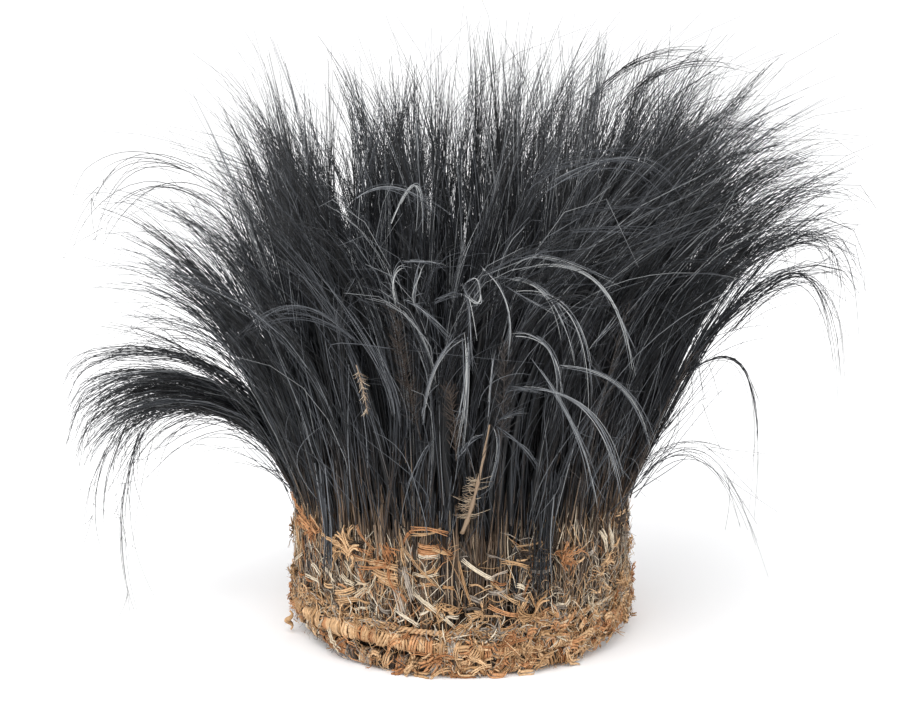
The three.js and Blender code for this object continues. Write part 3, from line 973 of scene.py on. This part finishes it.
def fibre_material():
    material = bpy.data.materials.new("dry_plant_fibre")
    material.use_nodes = True
    tree = material.node_tree
    shader = tree.nodes["Principled BSDF"]
    where = add(tree, "ShaderNodeUVMap", uv_map="OFBake")
    parts = add(tree, "ShaderNodeSeparateXYZ", {"Vector": where.outputs["UV"]})
    hue = ramp(
        tree,
        parts.outputs["X"],
        [
            (0.0, "#2E2620"),
            (0.18, "#54453A"),
            (0.2, "#6C6056"),
            (0.39, "#BDB1A3"),
            (0.42, "#AC8358"),
            (0.63, "#EEC79B"),
            (0.66, "#A26C43"),
            (0.81, "#DBA475"),
            (0.84, "#D8C6AA"),
            (1.0, "#F3E6D0"),
        ],
    )
    scale = (STREAKS_ROUND, STREAKS_ALONG, 1.0)
    stretch = add(tree, "ShaderNodeMapping", {"Vector": where.outputs["UV"], "Scale": scale})
    noise = {"Vector": stretch.outputs["Vector"], "Scale": 1.0, "Detail": 3.0}
    streaks = add(tree, "ShaderNodeTexNoise", noise)
    shading = {"From Min": 0.3, "From Max": 0.7, "To Min": 0.62, "To Max": 1.12}
    shade = add(tree, "ShaderNodeMapRange", {"Value": streaks.outputs["Fac"], **shading})
    tint = add(tree, "ShaderNodeMix", {0: 1.0, "A": hue}, data_type="RGBA", blend_type="MULTIPLY")
    tree.links.new(shade.outputs["Result"], tint.inputs["B"])
    tree.links.new(tint.outputs["Result"], shader.inputs["Base Color"])
    relief = {"Strength": 0.5, "Distance": 0.0004}
    grooves = add(tree, "ShaderNodeBump", {"Height": streaks.outputs["Fac"], **relief})
    tree.links.new(grooves.outputs["Normal"], shader.inputs["Normal"])
    shader.inputs["Roughness"].default_value = 0.78
    shader.inputs["Specular IOR Level"].default_value = 0.3
    return material


fibre = fibre_material()
print("made", fibre.name, "in", len(FIBRES), "kinds")

# %% [markdown]
# Each part of the band is a mix of kinds: the foot mostly golden and orange, the bundles mostly grey-brown
# with pale straw. `tones` draws a tone for each fibre from such a mix.


# %% Mixes of fibre
def tones(rng, count, mix):
    """Tones for a batch of fibres. mix gives the share of each kind."""
    kinds = rng.choice(list(mix), count, p=np.array(list(mix.values())) / sum(mix.values()))
    return np.array([rng.uniform(*FIBRES[kind]) for kind in kinds])


print("a mix:", tones(np.random.default_rng(1), 3, {"gold": 2, "straw": 1}).round(2))

# %% [markdown]
# ## Wrapped cords
#
# A wrapped cord is a core with fibre wound closely round it. A torus with a bump pattern would look
# smooth at its outline, so each turn is made, as a strip of a few strands, and the turns bunch up in
# bulges about a centimetre long. The upper cord rises over the front, towards the wearer's right.


# %% Wrapped cords
def wrapped_cord(name, rng, turns, middle, size, tilt, mix):
    """middle gives the cord's (out, height) at some angles, and size its thickness."""
    points, core_points = 10, 96
    at = (np.arange(turns) + rng.uniform(-0.3, 0.3, turns)) * 2 * math.pi / turns
    out, height = middle(at)
    bulge = 1 + 0.16 * np.abs(np.sin(at * 23 + np.sin(3 * at))) + rng.normal(0, 0.05, turns)
    bulge = bulge + (rng.uniform(0, 1, turns) < 0.08) * rng.uniform(0.1, 0.4, turns)
    radius = size(at) / 2 * bulge
    round_it = np.linspace(-0.15, 2 * math.pi + 0.15, points)[None, :]
    round_it = round_it + rng.uniform(0, 2 * math.pi, (turns, 1))
    slant = (rng.normal(0, tilt, (turns, 1)) + 0.9) * np.cos(round_it + rng.uniform(0, 6, (turns, 1)))
    paths = on_band(
        at[:, None],
        slant,
        np.maximum(height[:, None] + radius[:, None] * np.sin(round_it), 1.0),
        out[:, None] + radius[:, None] * np.cos(round_it),
    )
    width = 2 * math.pi * MEAN_RADIUS / turns * rng.uniform(0.45, 0.75, turns)
    turns_batch = strands(rng, paths, across(at)[:, None], width, tones(rng, turns, mix), fray=0.1)
    ring = np.linspace(0, 2 * math.pi, core_points + 1)[:-1]
    out, height = middle(ring)
    core = on_band(ring, 0 * ring, height, out)[None]
    core = np.concatenate([core, core[:, :1]], axis=1)
    thickness = np.append(size(ring), size(ring[:1])) / 2 * 0.9
    along = np.linspace(0, 1, core_points + 1)
    core_batch = tubes(core, thickness[None], np.array([0.1]), along[None], UP, sides=8)
    piece = join(name, [turns_batch, core_batch], fibre)
    return piece


rng = np.random.default_rng(51)
upper_cord = wrapped_cord(
    "wrapped_cord_upper",
    rng,
    turns=176,
    middle=lambda a: (-1.8 + 1.8 * hump(a, 240, 40), 12.6 + 5.4 * hump(a, 245, 38) + 0.8 * np.sin(5 * a)),
    size=lambda a: 8.6 + 1.4 * hump(a, 205, 30) + 0.5 * np.sin(7 * a),
    tilt=0.9,
    mix={"gold": 8, "orange": 2.6, "grey": 0.6},
)
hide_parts("rim_cord_upper")
lower_cord = wrapped_cord(
    "wrapped_cord_lower",
    rng,
    turns=170,
    middle=lambda a: (-2.4 + 0 * a, 4.8 + 0.3 * np.sin(4 * a)),
    size=lambda a: 8.0 + 0 * a,
    tilt=2.4,
    mix={"gold": 5, "orange": 3.0, "straw": 0.5, "grey": 2.6, "dark": 1.6},
)
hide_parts("rim_cord_lower")
print("wrapped cords:", triangles(upper_cord), "and", triangles(lower_cord), "triangles")

# %% [markdown]
# ## Twisted cord
#
# A thinner cord of two plies is sewn round the feet above the rim. It shows best at the front. Two
# helices, half a turn apart, are its real form, and they catch the light as real plies do.

# %% Twisted cord
TWISTS = 120  # round the band, for a pitch of 5 mm
POINTS_A_TWIST = 7


def twisted_cord(name):
    """Two plies twisted round each other."""
    points = TWISTS * POINTS_A_TWIST
    at = np.linspace(0, 2 * math.pi, points)
    twist = at * TWISTS
    plies = []
    for turn in (0.0, math.pi):
        height = 26.0 + 1.6 * np.sin(3 * at) * np.sin(at) + 0.9 * np.sin(twist + turn)
        out = 0.7 + 1.0 * hump(at, 256, 10) + 0.9 * np.cos(twist + turn)
        path = on_band(at, 0 * at, height, out)[None]
        radii = np.full((1, points), 0.95)
        along = (at * 9 / math.pi)[None]
        plies.append(tubes(path, radii, np.array([0.55 + 0.03 * turn]), along, UP, sides=4))
    piece = join(name, plies, fibre)
    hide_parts("tie_cord")
    return piece


tie = twisted_cord("twisted_tie_cord")
print("twisted cord:", triangles(tie), "triangles")

# %% [markdown]
# ## Inner wall
#
# The wall that everything is tied to is twined: rows of weft pass before and behind upright stakes. It
# shows inside the band, from above. A grid of points that goes up the inner face, over the edge and down
# the outer face is moved in and out by the pattern of the weave, so the relief is in the mesh.

# %% Inner wall
WALL_BOTTOM, WALL_TOP = 0.4, 58
STAKE_PITCH = 14.0
WEFT_PITCH = 4.4
WALL_INNER, WALL_OUTER = 10.4, 7.2  # insets of its two faces


def twined_wall():
    steps, rows = 224, 27
    angle = np.linspace(0, 2 * math.pi, steps, endpoint=False)
    height = np.linspace(WALL_BOTTOM, WALL_TOP, rows)
    stakes = angle * MEAN_RADIUS / STAKE_PITCH * 2 * math.pi
    row = height / WEFT_PITCH
    weft = np.abs(np.sin(math.pi * row))[:, None] ** 0.6
    over = 0.55 + 0.45 * np.cos(stakes[None, :] + math.pi * np.floor(row)[:, None])
    inner = WALL_INNER - 1.1 * weft * over
    profile_inset = np.concatenate([inner, np.full((3, steps), WALL_OUTER)])
    profile_height = np.concatenate([height, [WALL_TOP, WALL_TOP / 2, WALL_BOTTOM]])
    places = outward(angle)[None] * band_radius(angle, profile_inset)[..., None]
    places[..., 2] = raised(angle[None], profile_height[:, None])
    total = rows + 3
    here = np.arange(steps)
    after = (here + 1) % steps
    faces = []
    for number in range(total):
        low, high = number * steps, (number + 1) % total * steps
        faces.append(np.stack([low + here, high + here, high + after, low + after], axis=-1))
    # Painted shade: the tone is darker in the narrow grooves between the rows of weft.
    tone = 0.25 + 0.1 * np.sin(stakes)[None, :] ** 2 - 0.12 * (weft < 0.4)
    uv = np.stack(np.broadcast_arrays(tone, 20 * angle[None, :] / 6.3 % 1), axis=-1)
    uv = np.concatenate([uv, np.full((3, steps, 2), 0.1)])
    return {"places": places.reshape(-1, 3), "uv": uv.reshape(-1, 2), "faces": [np.concatenate(faces)]}


wall = join("twined_wall", [twined_wall()], fibre)
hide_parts("band_wall")
print("inner wall:", triangles(wall), "triangles")

# %% [markdown]
# ## Straps and strips
#
# Each bundle of quills is strapped on with strips of raffia, bark and split leaf that pass round its
# front at several heights. Those that catch the eye at the front are placed one by one: a row gives both
# ends, each as a place round the band in degrees and a height, and the half width.

# %% Where the front strips are
STRIPS = [
    # (kind, angle, height, angle, height, half width)
    ("straw", 270, 66, 280, 54, 1.1),
    ("straw", 255, 57, 263, 58, 0.8),
    ("straw", 255, 46, 268, 28, 1.0),
    ("tan", 269, 65, 273, 40, 0.7),
    ("tan", 280, 52, 288, 40, 0.9),
    ("straw", 287, 50, 290, 47, 1.2),
    ("tan", 282, 64, 291, 59, 1.2),
    ("orange", 278, 40, 288, 33, 1.2),
    ("tan", 267, 24, 276, 37, 0.9),
    ("orange", 289, 43, 292, 52, 0.8),
    ("straw", 255, 46, 255, 58, 0.6),
    ("tan", 236, 44, 241, 73, 0.7),
    ("orange", 236, 55, 238, 47, 0.7),
    ("straw", 205, 38, 217, 40, 1.0),
    ("straw", 211, 47, 217, 43, 1.2),
    ("straw", 220, 49, 225, 43, 1.3),
    ("straw", 228, 49, 234, 45, 1.3),
    ("straw", 183, 33, 203, 49, 1.0),
    ("orange", 212, 76, 222, 66, 0.9),
    ("orange", 225, 64, 232, 69, 1.1),
    ("orange", 232, 67, 241, 64, 1.1),
    ("orange", 226, 70, 240, 60, 0.6),
    ("tan", 240, 60, 250, 59, 1.8),
    ("tan", 241, 56, 250, 54, 1.8),
    ("tan", 243, 51, 250, 49, 1.6),
    ("tan", 225, 37, 234, 43, 1.6),
    ("tan", 225, 31, 236, 38, 1.6),
    ("orange", 301, 65, 309, 57, 0.8),
    ("straw", 321, 70, 325, 56, 2.0),
    ("straw", 326, 72, 329, 54, 1.2),
    ("tan", 298, 33, 305, 22, 1.2),
    ("orange", 291, 31, 299, 30, 0.9),
    ("tan", 288, 35, 291, 45, 1.4),
    ("orange", 294, 24, 301, 16, 1.2),
    ("orange", 263, 23, 270, 19, 1.0),
    ("tan", 271, 8, 277, 16, 1.4),
    ("orange", 285, 15, 295, 23, 1.2),
    ("tan", 308, 20, 312, 28, 1.1),
    ("orange", 316, 23, 326, 8, 1.2),
    ("grey", 252, 60, 255, 42, 1.6),
    ("grey", 249, 48, 252, 30, 2.0),
    ("tan", 252, 71, 263, 50, 0.6),
    ("grey", 262, 81, 272, 45, 0.4),
    ("orange", 252, 73, 256, 82, 1.0),
    ("orange", 255, 83, 266, 81, 1.1),
    ("tan", 255, 80, 264, 84, 0.8),
    ("tan", 261, 72, 267, 69, 1.0),
    ("straw", 249, 36, 257, 28, 0.9),
    ("orange", 199, 84, 206, 74, 0.9),
    ("tan", 192, 66, 198, 52, 1.6),
    ("orange", 236, 80, 241, 66, 0.7),
]
KIND_TONES = {"tan": 0.53, "straw": 0.9, "orange": 0.72, "grey": 0.36}
for kind in KIND_TONES:
    print(kind, "strips:", sum(row[0] == kind for row in STRIPS))

# %% [markdown]
# A strip runs from one end to the other and bows a little outwards and sideways on its way. It keeps just
# off the quills, and where it reaches above the necks it leans out with the feathers.

# %% Strips at the front
NEARLY_UP = np.array([0.1, 0.1, 1.0])  # no strip runs quite along it
rng = np.random.default_rng(61)
step = np.linspace(0, 1, 9)
bow = np.sin(math.pi * step)
strips = len(STRIPS)
columns = np.array([row[1:] for row in STRIPS], dtype=float).T[..., None]
angle, height, last_angle, last_height, width = columns
strip_angle = np.radians(angle + (last_angle - angle) * step)
strip_height = height + (last_height - height) * step + rng.normal(0, 1.3, (strips, 1)) * bow
strip_out = 1.9 + rng.uniform(0, 1.6, (strips, 1)) * bow + rng.normal(0, 0.3, (strips, 9))
strip_out = strip_out + 0.3 * np.maximum(strip_height - 70, 0)
strip_paths = on_band(strip_angle, 0 * strip_angle, strip_height, strip_out)
strip_tone = np.array([KIND_TONES[row[0]] for row in STRIPS]) + rng.normal(0, 0.02, strips)
strip_batch = strands(rng, strip_paths, NEARLY_UP, width[:, 0], strip_tone, fray=0.18, flat=0.4)
print("strips up to", strip_height.max().round(), "mm high")

# %% [markdown]
# All round the band, and under those at the front, short straps hold each bundle. There are 230 of them,
# so their places are drawn at random, with more of them low down where the band is bound hardest.

# %% Straps round the bundles
BUNDLE_ANGLE = 0.064  # of each bundle's middle from the bunch's


def straps(rng, count, angle, height, half_width, bulge, tilt, width, mix):
    step = np.linspace(-1, 1, 9)[None, :]
    x = step * half_width[:, None]
    out = bulge[:, None] * (1 - step**4) - 3.4 * step**6 + 0.3
    z = height[:, None] + tilt[:, None] * step + rng.normal(0, 0.9, (count, 1)) * np.cos(3 * step)
    paths = on_band(angle[:, None], x, z, out)
    return strands(rng, paths, UP, width, tones(rng, count, mix), count=2, flat=0.4)


STRAPS = 230
rng = np.random.default_rng(77)
count = STRAPS
strap_bunch = rng.integers(1, len(bunches) + 1, count)
strap_bundle = (strap_bunch - 0.5) * SECTOR + rng.choice([-BUNDLE_ANGLE, BUNDLE_ANGLE], count)
strap_batch = straps(
    rng,
    count=count,
    angle=strap_bundle + rng.normal(0, 0.01, count),
    height=np.where(rng.uniform(0, 1, count) < 0.6, rng.uniform(20, 38, count), rng.uniform(38, 66, count)),
    half_width=rng.uniform(3.5, 7, count),
    bulge=rng.uniform(0.8, 2.2, count),
    tilt=rng.normal(0, 1.8, count),
    width=rng.uniform(0.3, 1.3, count),
    mix={"gold": 5, "orange": 1.6, "straw": 1.4, "grey": 3, "dark": 0.8},
)
strap_piece = join("bundle_straps", [strip_batch, strap_batch], fibre)
print("straps:", triangles(strap_piece), "triangles")

# %% [markdown]
# ## Neck bindings
#
# Raffia is wound seven times round the neck of some bunches, at the places the CAD model gives. Each turn
# is an oval of strands that wavers up and down. The seventh binding is a narrow collar of bark, neatly
# wound, with a pale edge at its foot.

# %% Neck bindings
BINDING_KINDS = ["gold", "gold", "orange", "gold", "orange", "dark", "orange", "dark", "dark"]
COLLAR = 7  # its number
TURNS = 7
SLIVERS = 26


def turns_round(rng, angle, middle, low, high, kind, collar):
    """Turns of raffia round a neck, from one height to another."""
    tall = high - low
    swing = np.linspace(0, 2 * math.pi, 19)[None] + rng.uniform(0, 6, (TURNS, 1))
    at = low + tall * (0.12 + 0.76 * np.arange(TURNS) / (TURNS - 1))[:, None]
    at = at + rng.normal(0, 0.25 if collar else 1.1, (TURNS, 1))
    waver = rng.normal(0, 0.4 if collar else 1.8, (TURNS, 1))
    height = at + waver * np.sin(swing + rng.uniform(0, 6, (TURNS, 1)))
    half = 6.2 if collar else 10.3
    x = (half + rng.uniform(-0.3, 0.5, (TURNS, 1))) * np.cos(swing) - (4.5 if collar else 0)
    out = (5.9 + rng.uniform(-0.2, 0.5, (TURNS, 1))) * np.sin(swing)
    paths = outward(angle) * (middle + out)[..., None] + across(angle) * x[..., None]
    paths[..., 2] = height
    width = rng.uniform(0.5, 0.9, TURNS) * tall / TURNS
    tone = tones(rng, TURNS, {kind: 5, "gold": 0 if collar else 1})
    if collar:
        tone[:2] = 0.96
    return strands(rng, paths, UP, width, tone, fray=0.2)


def slivers_round(rng, angle, middle, low, high, kind):
    """Frayed slivers that stand off a binding's front in every direction."""
    step = np.linspace(0, 1, 5)
    heading = rng.uniform(0, 2 * math.pi, (SLIVERS, 1))
    reach = rng.uniform(3, 9, (SLIVERS, 1)) * step
    side = rng.uniform(-9, 9, (SLIVERS, 1)) + np.cos(heading) * reach
    height = rng.uniform(low, high, (SLIVERS, 1)) + np.sin(heading) * reach
    front = middle + 5.4 + rng.uniform(0, 2.4, (SLIVERS, 1)) * np.linspace(0.2, 1, 5)
    paths = outward(angle) * front[..., None] + across(angle) * side[..., None]
    paths[..., 2] = height
    radii = rng.uniform(0.15, 0.45, (SLIVERS, 1)) * np.array([1, 1, 0.9, 0.7, 0.3])
    tone = tones(rng, SLIVERS, {kind: 3, "gold": 1})
    return tubes(paths, radii, tone, np.tile(step, (SLIVERS, 1)), outward(angle), flat=0.6)


binding_nodes = sorted(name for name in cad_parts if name.startswith("neck_binding"))
total = 0
for number, (node, kind) in enumerate(zip(binding_nodes, BINDING_KINDS), start=1):
    rng = np.random.default_rng(599 + number)
    low, high = (np.array(corner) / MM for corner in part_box(node))
    centre = (low + high) / 2
    place = np.array(math.atan2(centre[1], centre[0])), math.hypot(centre[0], centre[1]), low[2], high[2]
    turns_batch = turns_round(rng, *place, kind, number == COLLAR)
    piece = join(f"wound_binding_{number}", [turns_batch, slivers_round(rng, *place, kind)], fibre)
    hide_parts(node)
    total += triangles(piece)
print("neck bindings:", total, "triangles")

# %% [markdown]
# ## Loose fibre
#
# Frayed ends, slivers and curls lie over the band in every direction. Without them the cords and straps
# would look machine made. Each starts at a place on the band and heads off over it, bending as it goes
# and lifting at its end. Most are fine hairs, and one in four is a sliver.


# %% How loose fibre lies
def fibre_paths(rng, angle, height, heading, length, bend, rest, lift, points):
    """Paths that lie over the band: heading is 0 along it and a quarter turn upright."""
    step = np.linspace(0, 1, points)[None, :]
    way = heading[:, None] + bend[:, None] * step
    dx = np.cos(way) * length[:, None] / (points - 1)
    dz = np.sin(way) * length[:, None] / (points - 1)
    x = np.cumsum(dx, axis=1) - dx[:, :1]
    z = height[:, None] + np.cumsum(dz, axis=1) - dz[:, :1]
    out = rest[:, None] + lift[:, None] * step**1.6 + rng.normal(0, 0.45, (len(angle), points))
    return on_band(angle[:, None], x, np.maximum(z, 1.2), out)


def fine_fibre(rng, angle, height, heading, length, bend, rest, lift, width, mix):
    points = 4
    paths = fibre_paths(rng, angle, height, heading, length, bend, rest, lift, points)
    step = np.linspace(0, 1, points)
    radii = width[:, None] * (1 - 0.55 * step**2)
    along = np.tile(step, (len(angle), 1))
    beside = UP + 0.35 * across(angle)[:, None]
    return tubes(paths, radii, tones(rng, len(angle), mix), along, beside, flat=0.6)


def fibre_widths(rng, count):
    """Half widths: mostly fine hairs, and some slivers."""
    fine = rng.uniform(0, 1, count) < 0.75
    return np.where(fine, rng.uniform(0.12, 0.26, count), rng.uniform(0.26, 0.55, count))


def around(rng, count):
    return rng.uniform(0, 2 * math.pi, count)


print("a wide fibre is", 2 * fibre_widths(np.random.default_rng(1), 100).max().round(1), "mm across")

# %% [markdown]
# Round the foot the fibre is mostly golden and orange and points every way. In the bundles above, it is
# grey-brown with some pale straw and runs mostly upright, because it is split off the quills.

# %% Fibre on the foot and in the bundles
FOOT_FIBRES, BUNDLE_FIBRES = 1200, 2150
rng = np.random.default_rng(88)
count = FOOT_FIBRES
foot_fibre = fine_fibre(
    rng,
    angle=around(rng, count),
    height=rng.uniform(1.5, 24, count),
    heading=around(rng, count),
    length=rng.uniform(4, 15, count),
    bend=rng.normal(0, 1.6, count),
    rest=rng.uniform(2.0, 4.2, count),
    lift=rng.normal(0.4, 1.4, count),
    width=fibre_widths(rng, count),
    mix={"gold": 6, "orange": 3.2, "straw": 0.9, "grey": 2.2, "dark": 2.0},
)
count = BUNDLE_FIBRES
in_bundle = (rng.integers(0, len(bunches), count) + 0.5) * SECTOR
in_bundle = in_bundle + rng.choice([-BUNDLE_ANGLE, BUNDLE_ANGLE], count) + rng.normal(0, 0.027, count)
side_fibre = fine_fibre(
    rng,
    angle=in_bundle,
    height=rng.uniform(20, 64, count),
    heading=rng.normal(math.pi / 2, 0.65, count) + math.pi * rng.integers(0, 2, count),
    length=rng.uniform(5, 20, count),
    bend=rng.normal(0, 0.8, count),
    rest=rng.uniform(-2.4, 1.6, count),
    lift=rng.normal(0.2, 1.2, count),
    width=fibre_widths(rng, count),
    mix={"grey": 6, "straw": 1.6, "gold": 3.2, "orange": 0.9, "dark": 1.8},
)
print("fibres on the foot and in the bundles:", FOOT_FIBRES + BUNDLE_FIBRES)

# %% [markdown]
# The band hasn't aged evenly. Paler quills and fibre stand in the bundles at both sides of the front, and
# looser fluff hangs where it is most worn, at the wearer's left front.

# %% Paler fibre and fluff
PALE_FIBRES, FLUFF = 900, 420
count = PALE_FIBRES
at_right = rng.uniform(0, 1, count) < 0.6
pale_fibre = fine_fibre(
    rng,
    angle=np.radians(np.where(at_right, rng.uniform(180, 262, count), rng.uniform(284, 358, count))),
    height=np.where(at_right, rng.uniform(24, 66, count), rng.uniform(26, 76, count)),
    heading=rng.normal(math.pi / 2, 0.3, count),
    length=rng.uniform(7, 22, count),
    bend=rng.normal(0, 0.5, count),
    rest=rng.uniform(-0.6, 1.8, count),
    lift=rng.normal(0.2, 0.9, count),
    width=fibre_widths(rng, count),
    mix={"straw": 3, "gold": 3, "orange": 1.2, "grey": 2},
)
count = FLUFF
fluff = fine_fibre(
    rng,
    angle=np.radians(rng.normal(322, 18, count)),
    height=rng.uniform(8, 52, count),
    heading=around(rng, count),
    length=rng.uniform(4, 13, count),
    bend=rng.normal(0, 1.8, count),
    rest=rng.uniform(0.5, 3.5, count),
    lift=rng.normal(1.0, 1.5, count),
    width=rng.uniform(0.12, 0.3, count),
    mix={"gold": 5, "straw": 2.5, "grey": 2},
)
print("pale fibres and fluff:", PALE_FIBRES + FLUFF)

# %% [markdown]
# Where a strap or cord is tied off, its ends fan out from the knot, curl over and split. The front knots
# have their own places, and those behind are drawn at random.

# %% Frayed knots
FRONT_KNOTS = [
    # (angle, height) round the band, in degrees and millimetres
    (184, 12), (192, 30), (198, 8), (213, 68), (226, 66), (233, 62), (240, 46), (247, 60), (252, 22),
    (261, 12), (264, 40), (272, 10), (276, 34), (283, 20), (290, 12), (293, 30), (300, 20), (303, 62),
    (309, 12), (316, 28), (322, 50), (328, 16), (336, 34), (344, 14), (350, 48),
]
KNOTS_BEHIND = 34
KNOT_ENDS = 11  # strips in each knot
front_angle, front_height = np.array(FRONT_KNOTS, dtype=float).T
behind_angle = rng.uniform(-10, 184, KNOTS_BEHIND)
low_down = rng.uniform(0, 1, KNOTS_BEHIND) < 0.75
at_foot, above = rng.uniform(4, 20, KNOTS_BEHIND), rng.uniform(22, 62, KNOTS_BEHIND)
knot_angle = np.radians(np.concatenate([front_angle, behind_angle]))
knot_height = np.concatenate([front_height, np.where(low_down, at_foot, above)])
knots, each = len(knot_angle), KNOT_ENDS
count = knots * each
size = np.repeat(rng.uniform(0.7, 1.3, knots), each)
knot_paths = fibre_paths(
    rng,
    angle=np.repeat(knot_angle, each) + rng.normal(0, 0.01, count),
    height=np.repeat(knot_height, each) + rng.normal(0, 1.6, count),
    heading=np.repeat(around(rng, knots), each) + rng.normal(0, 1.2, count),
    length=size * rng.uniform(4, 14, count),
    bend=rng.normal(0, 1.7, count),
    rest=rng.uniform(1.6, 4.2, count),
    lift=size * rng.normal(1.2, 1.5, count),
    points=7,
)
knot_tone = np.repeat(tones(rng, knots, {"gold": 6, "orange": 2.6, "straw": 0.8}), each)
knot_tone = np.clip(knot_tone + rng.normal(0, 0.02, count), 0, 0.99)
knot_width = size * rng.uniform(0.3, 1.1, count)
knot_fibre = strands(rng, knot_paths, NEARLY_UP, knot_width, knot_tone, count=2, fray=1.0)
print("knots:", knots, "with", each, "ends each")

# %% [markdown]
# Bent ends of raffia stick out round the foot, thickest at the wearer's left front, and slanted fibres
# cover the twisted cord all round but at the front, where it shows.

# %% Bent ends and fibre over the cord
BENT_ENDS, CORD_FIBRES, FRONT_CORD_FIBRES = 180, 760, 330
CORD_SHOWS = 257, 6  # degrees round the band, and how far to each side
count = BENT_ENDS
anywhere = rng.uniform(0, 1, count) < 0.5
loop_angle = np.where(anywhere, around(rng, count), np.radians(rng.normal(298, 26, count)))
loop_paths = fibre_paths(
    rng,
    angle=loop_angle,
    height=rng.uniform(3, 22, count),
    heading=around(rng, count),
    length=rng.uniform(7, 17, count),
    bend=rng.choice([-1, 1], count) * 0.3 + rng.normal(0, 2.0, count),
    rest=rng.uniform(2.4, 4.6, count),
    lift=rng.normal(0.6, 1.6, count),
    points=11,
)
loop_tone = tones(rng, count, {"gold": 6, "orange": 3, "straw": 0.4})
loop_width = rng.uniform(0.5, 1.9, count)
loops = strands(rng, loop_paths, NEARLY_UP, loop_width, loop_tone, count=2, fray=0.4, flat=0.35)
all_round = around(rng, CORD_FIBRES)
at_front = np.radians(rng.uniform(195, 300, FRONT_CORD_FIBRES))
cord_angle = np.concatenate([all_round, at_front])
cord_angle = cord_angle[np.abs(np.degrees(cord_angle) - CORD_SHOWS[0]) > CORD_SHOWS[1]]
count = len(cord_angle)
cord_fibre = fine_fibre(
    rng,
    angle=cord_angle,
    height=rng.uniform(19, 29, count),
    heading=rng.normal(1.0, 0.9, count) * rng.choice([-1, 1], count),
    length=rng.uniform(5, 12, count),
    bend=rng.normal(0, 1.2, count),
    rest=rng.uniform(1.6, 3.4, count),
    lift=rng.normal(0, 0.7, count),
    width=rng.uniform(0.2, 0.6, count),
    mix={"gold": 5, "orange": 1, "straw": 1.5, "grey": 3, "dark": 0.6},
)
print("fibres over the cord:", count)

# %% [markdown]
# All of it is one piece, because no one would take a single fibre off a headdress.

# %% Loose fibre
fine_batches = [foot_fibre, side_fibre, pale_fibre, fluff, cord_fibre]
loose = join("loose_fibre", fine_batches + [knot_fibre, loops], fibre)
print("loose fibre:", triangles(loose), "triangles")

# %% [markdown]
# ## Cord end
#
# The lower wrapped cord ends in a short knotted tail at the wearer's right. It is one twisted tube where
# the CAD model has its tail, thick in the middle and thin at both ends.

# %% Cord end
low, high = (np.array(corner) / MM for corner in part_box("cord_tail"))
centre = (low + high) / 2
t = np.linspace(0, 1, 14)
twist = 1.6 * np.sin(9 * t), 1.6 * np.cos(9 * t)
height = high[2] + 2 - (high[2] - low[2]) * t
path = np.stack([centre[0] + twist[0], centre[1] + twist[1], height], axis=-1)
radii = 1.6 * np.sin(math.pi * np.clip(t, 0.12, 0.9))
beside = np.array([0.3, 1.0, 0.1])
tail_batch = tubes(path[None], radii[None], np.array([0.5]), t[None], beside, sides=6)
tail = join("cord_end", [tail_batch], fibre)
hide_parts("cord_tail")
print("cord end:", triangles(tail), "triangles")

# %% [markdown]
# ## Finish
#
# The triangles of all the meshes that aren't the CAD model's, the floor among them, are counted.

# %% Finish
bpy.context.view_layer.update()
pieces = [piece for piece in bpy.data.objects if piece.type == "MESH" and piece.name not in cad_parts]
print("all pieces:", sum(triangles(piece) for piece in pieces), "triangles")
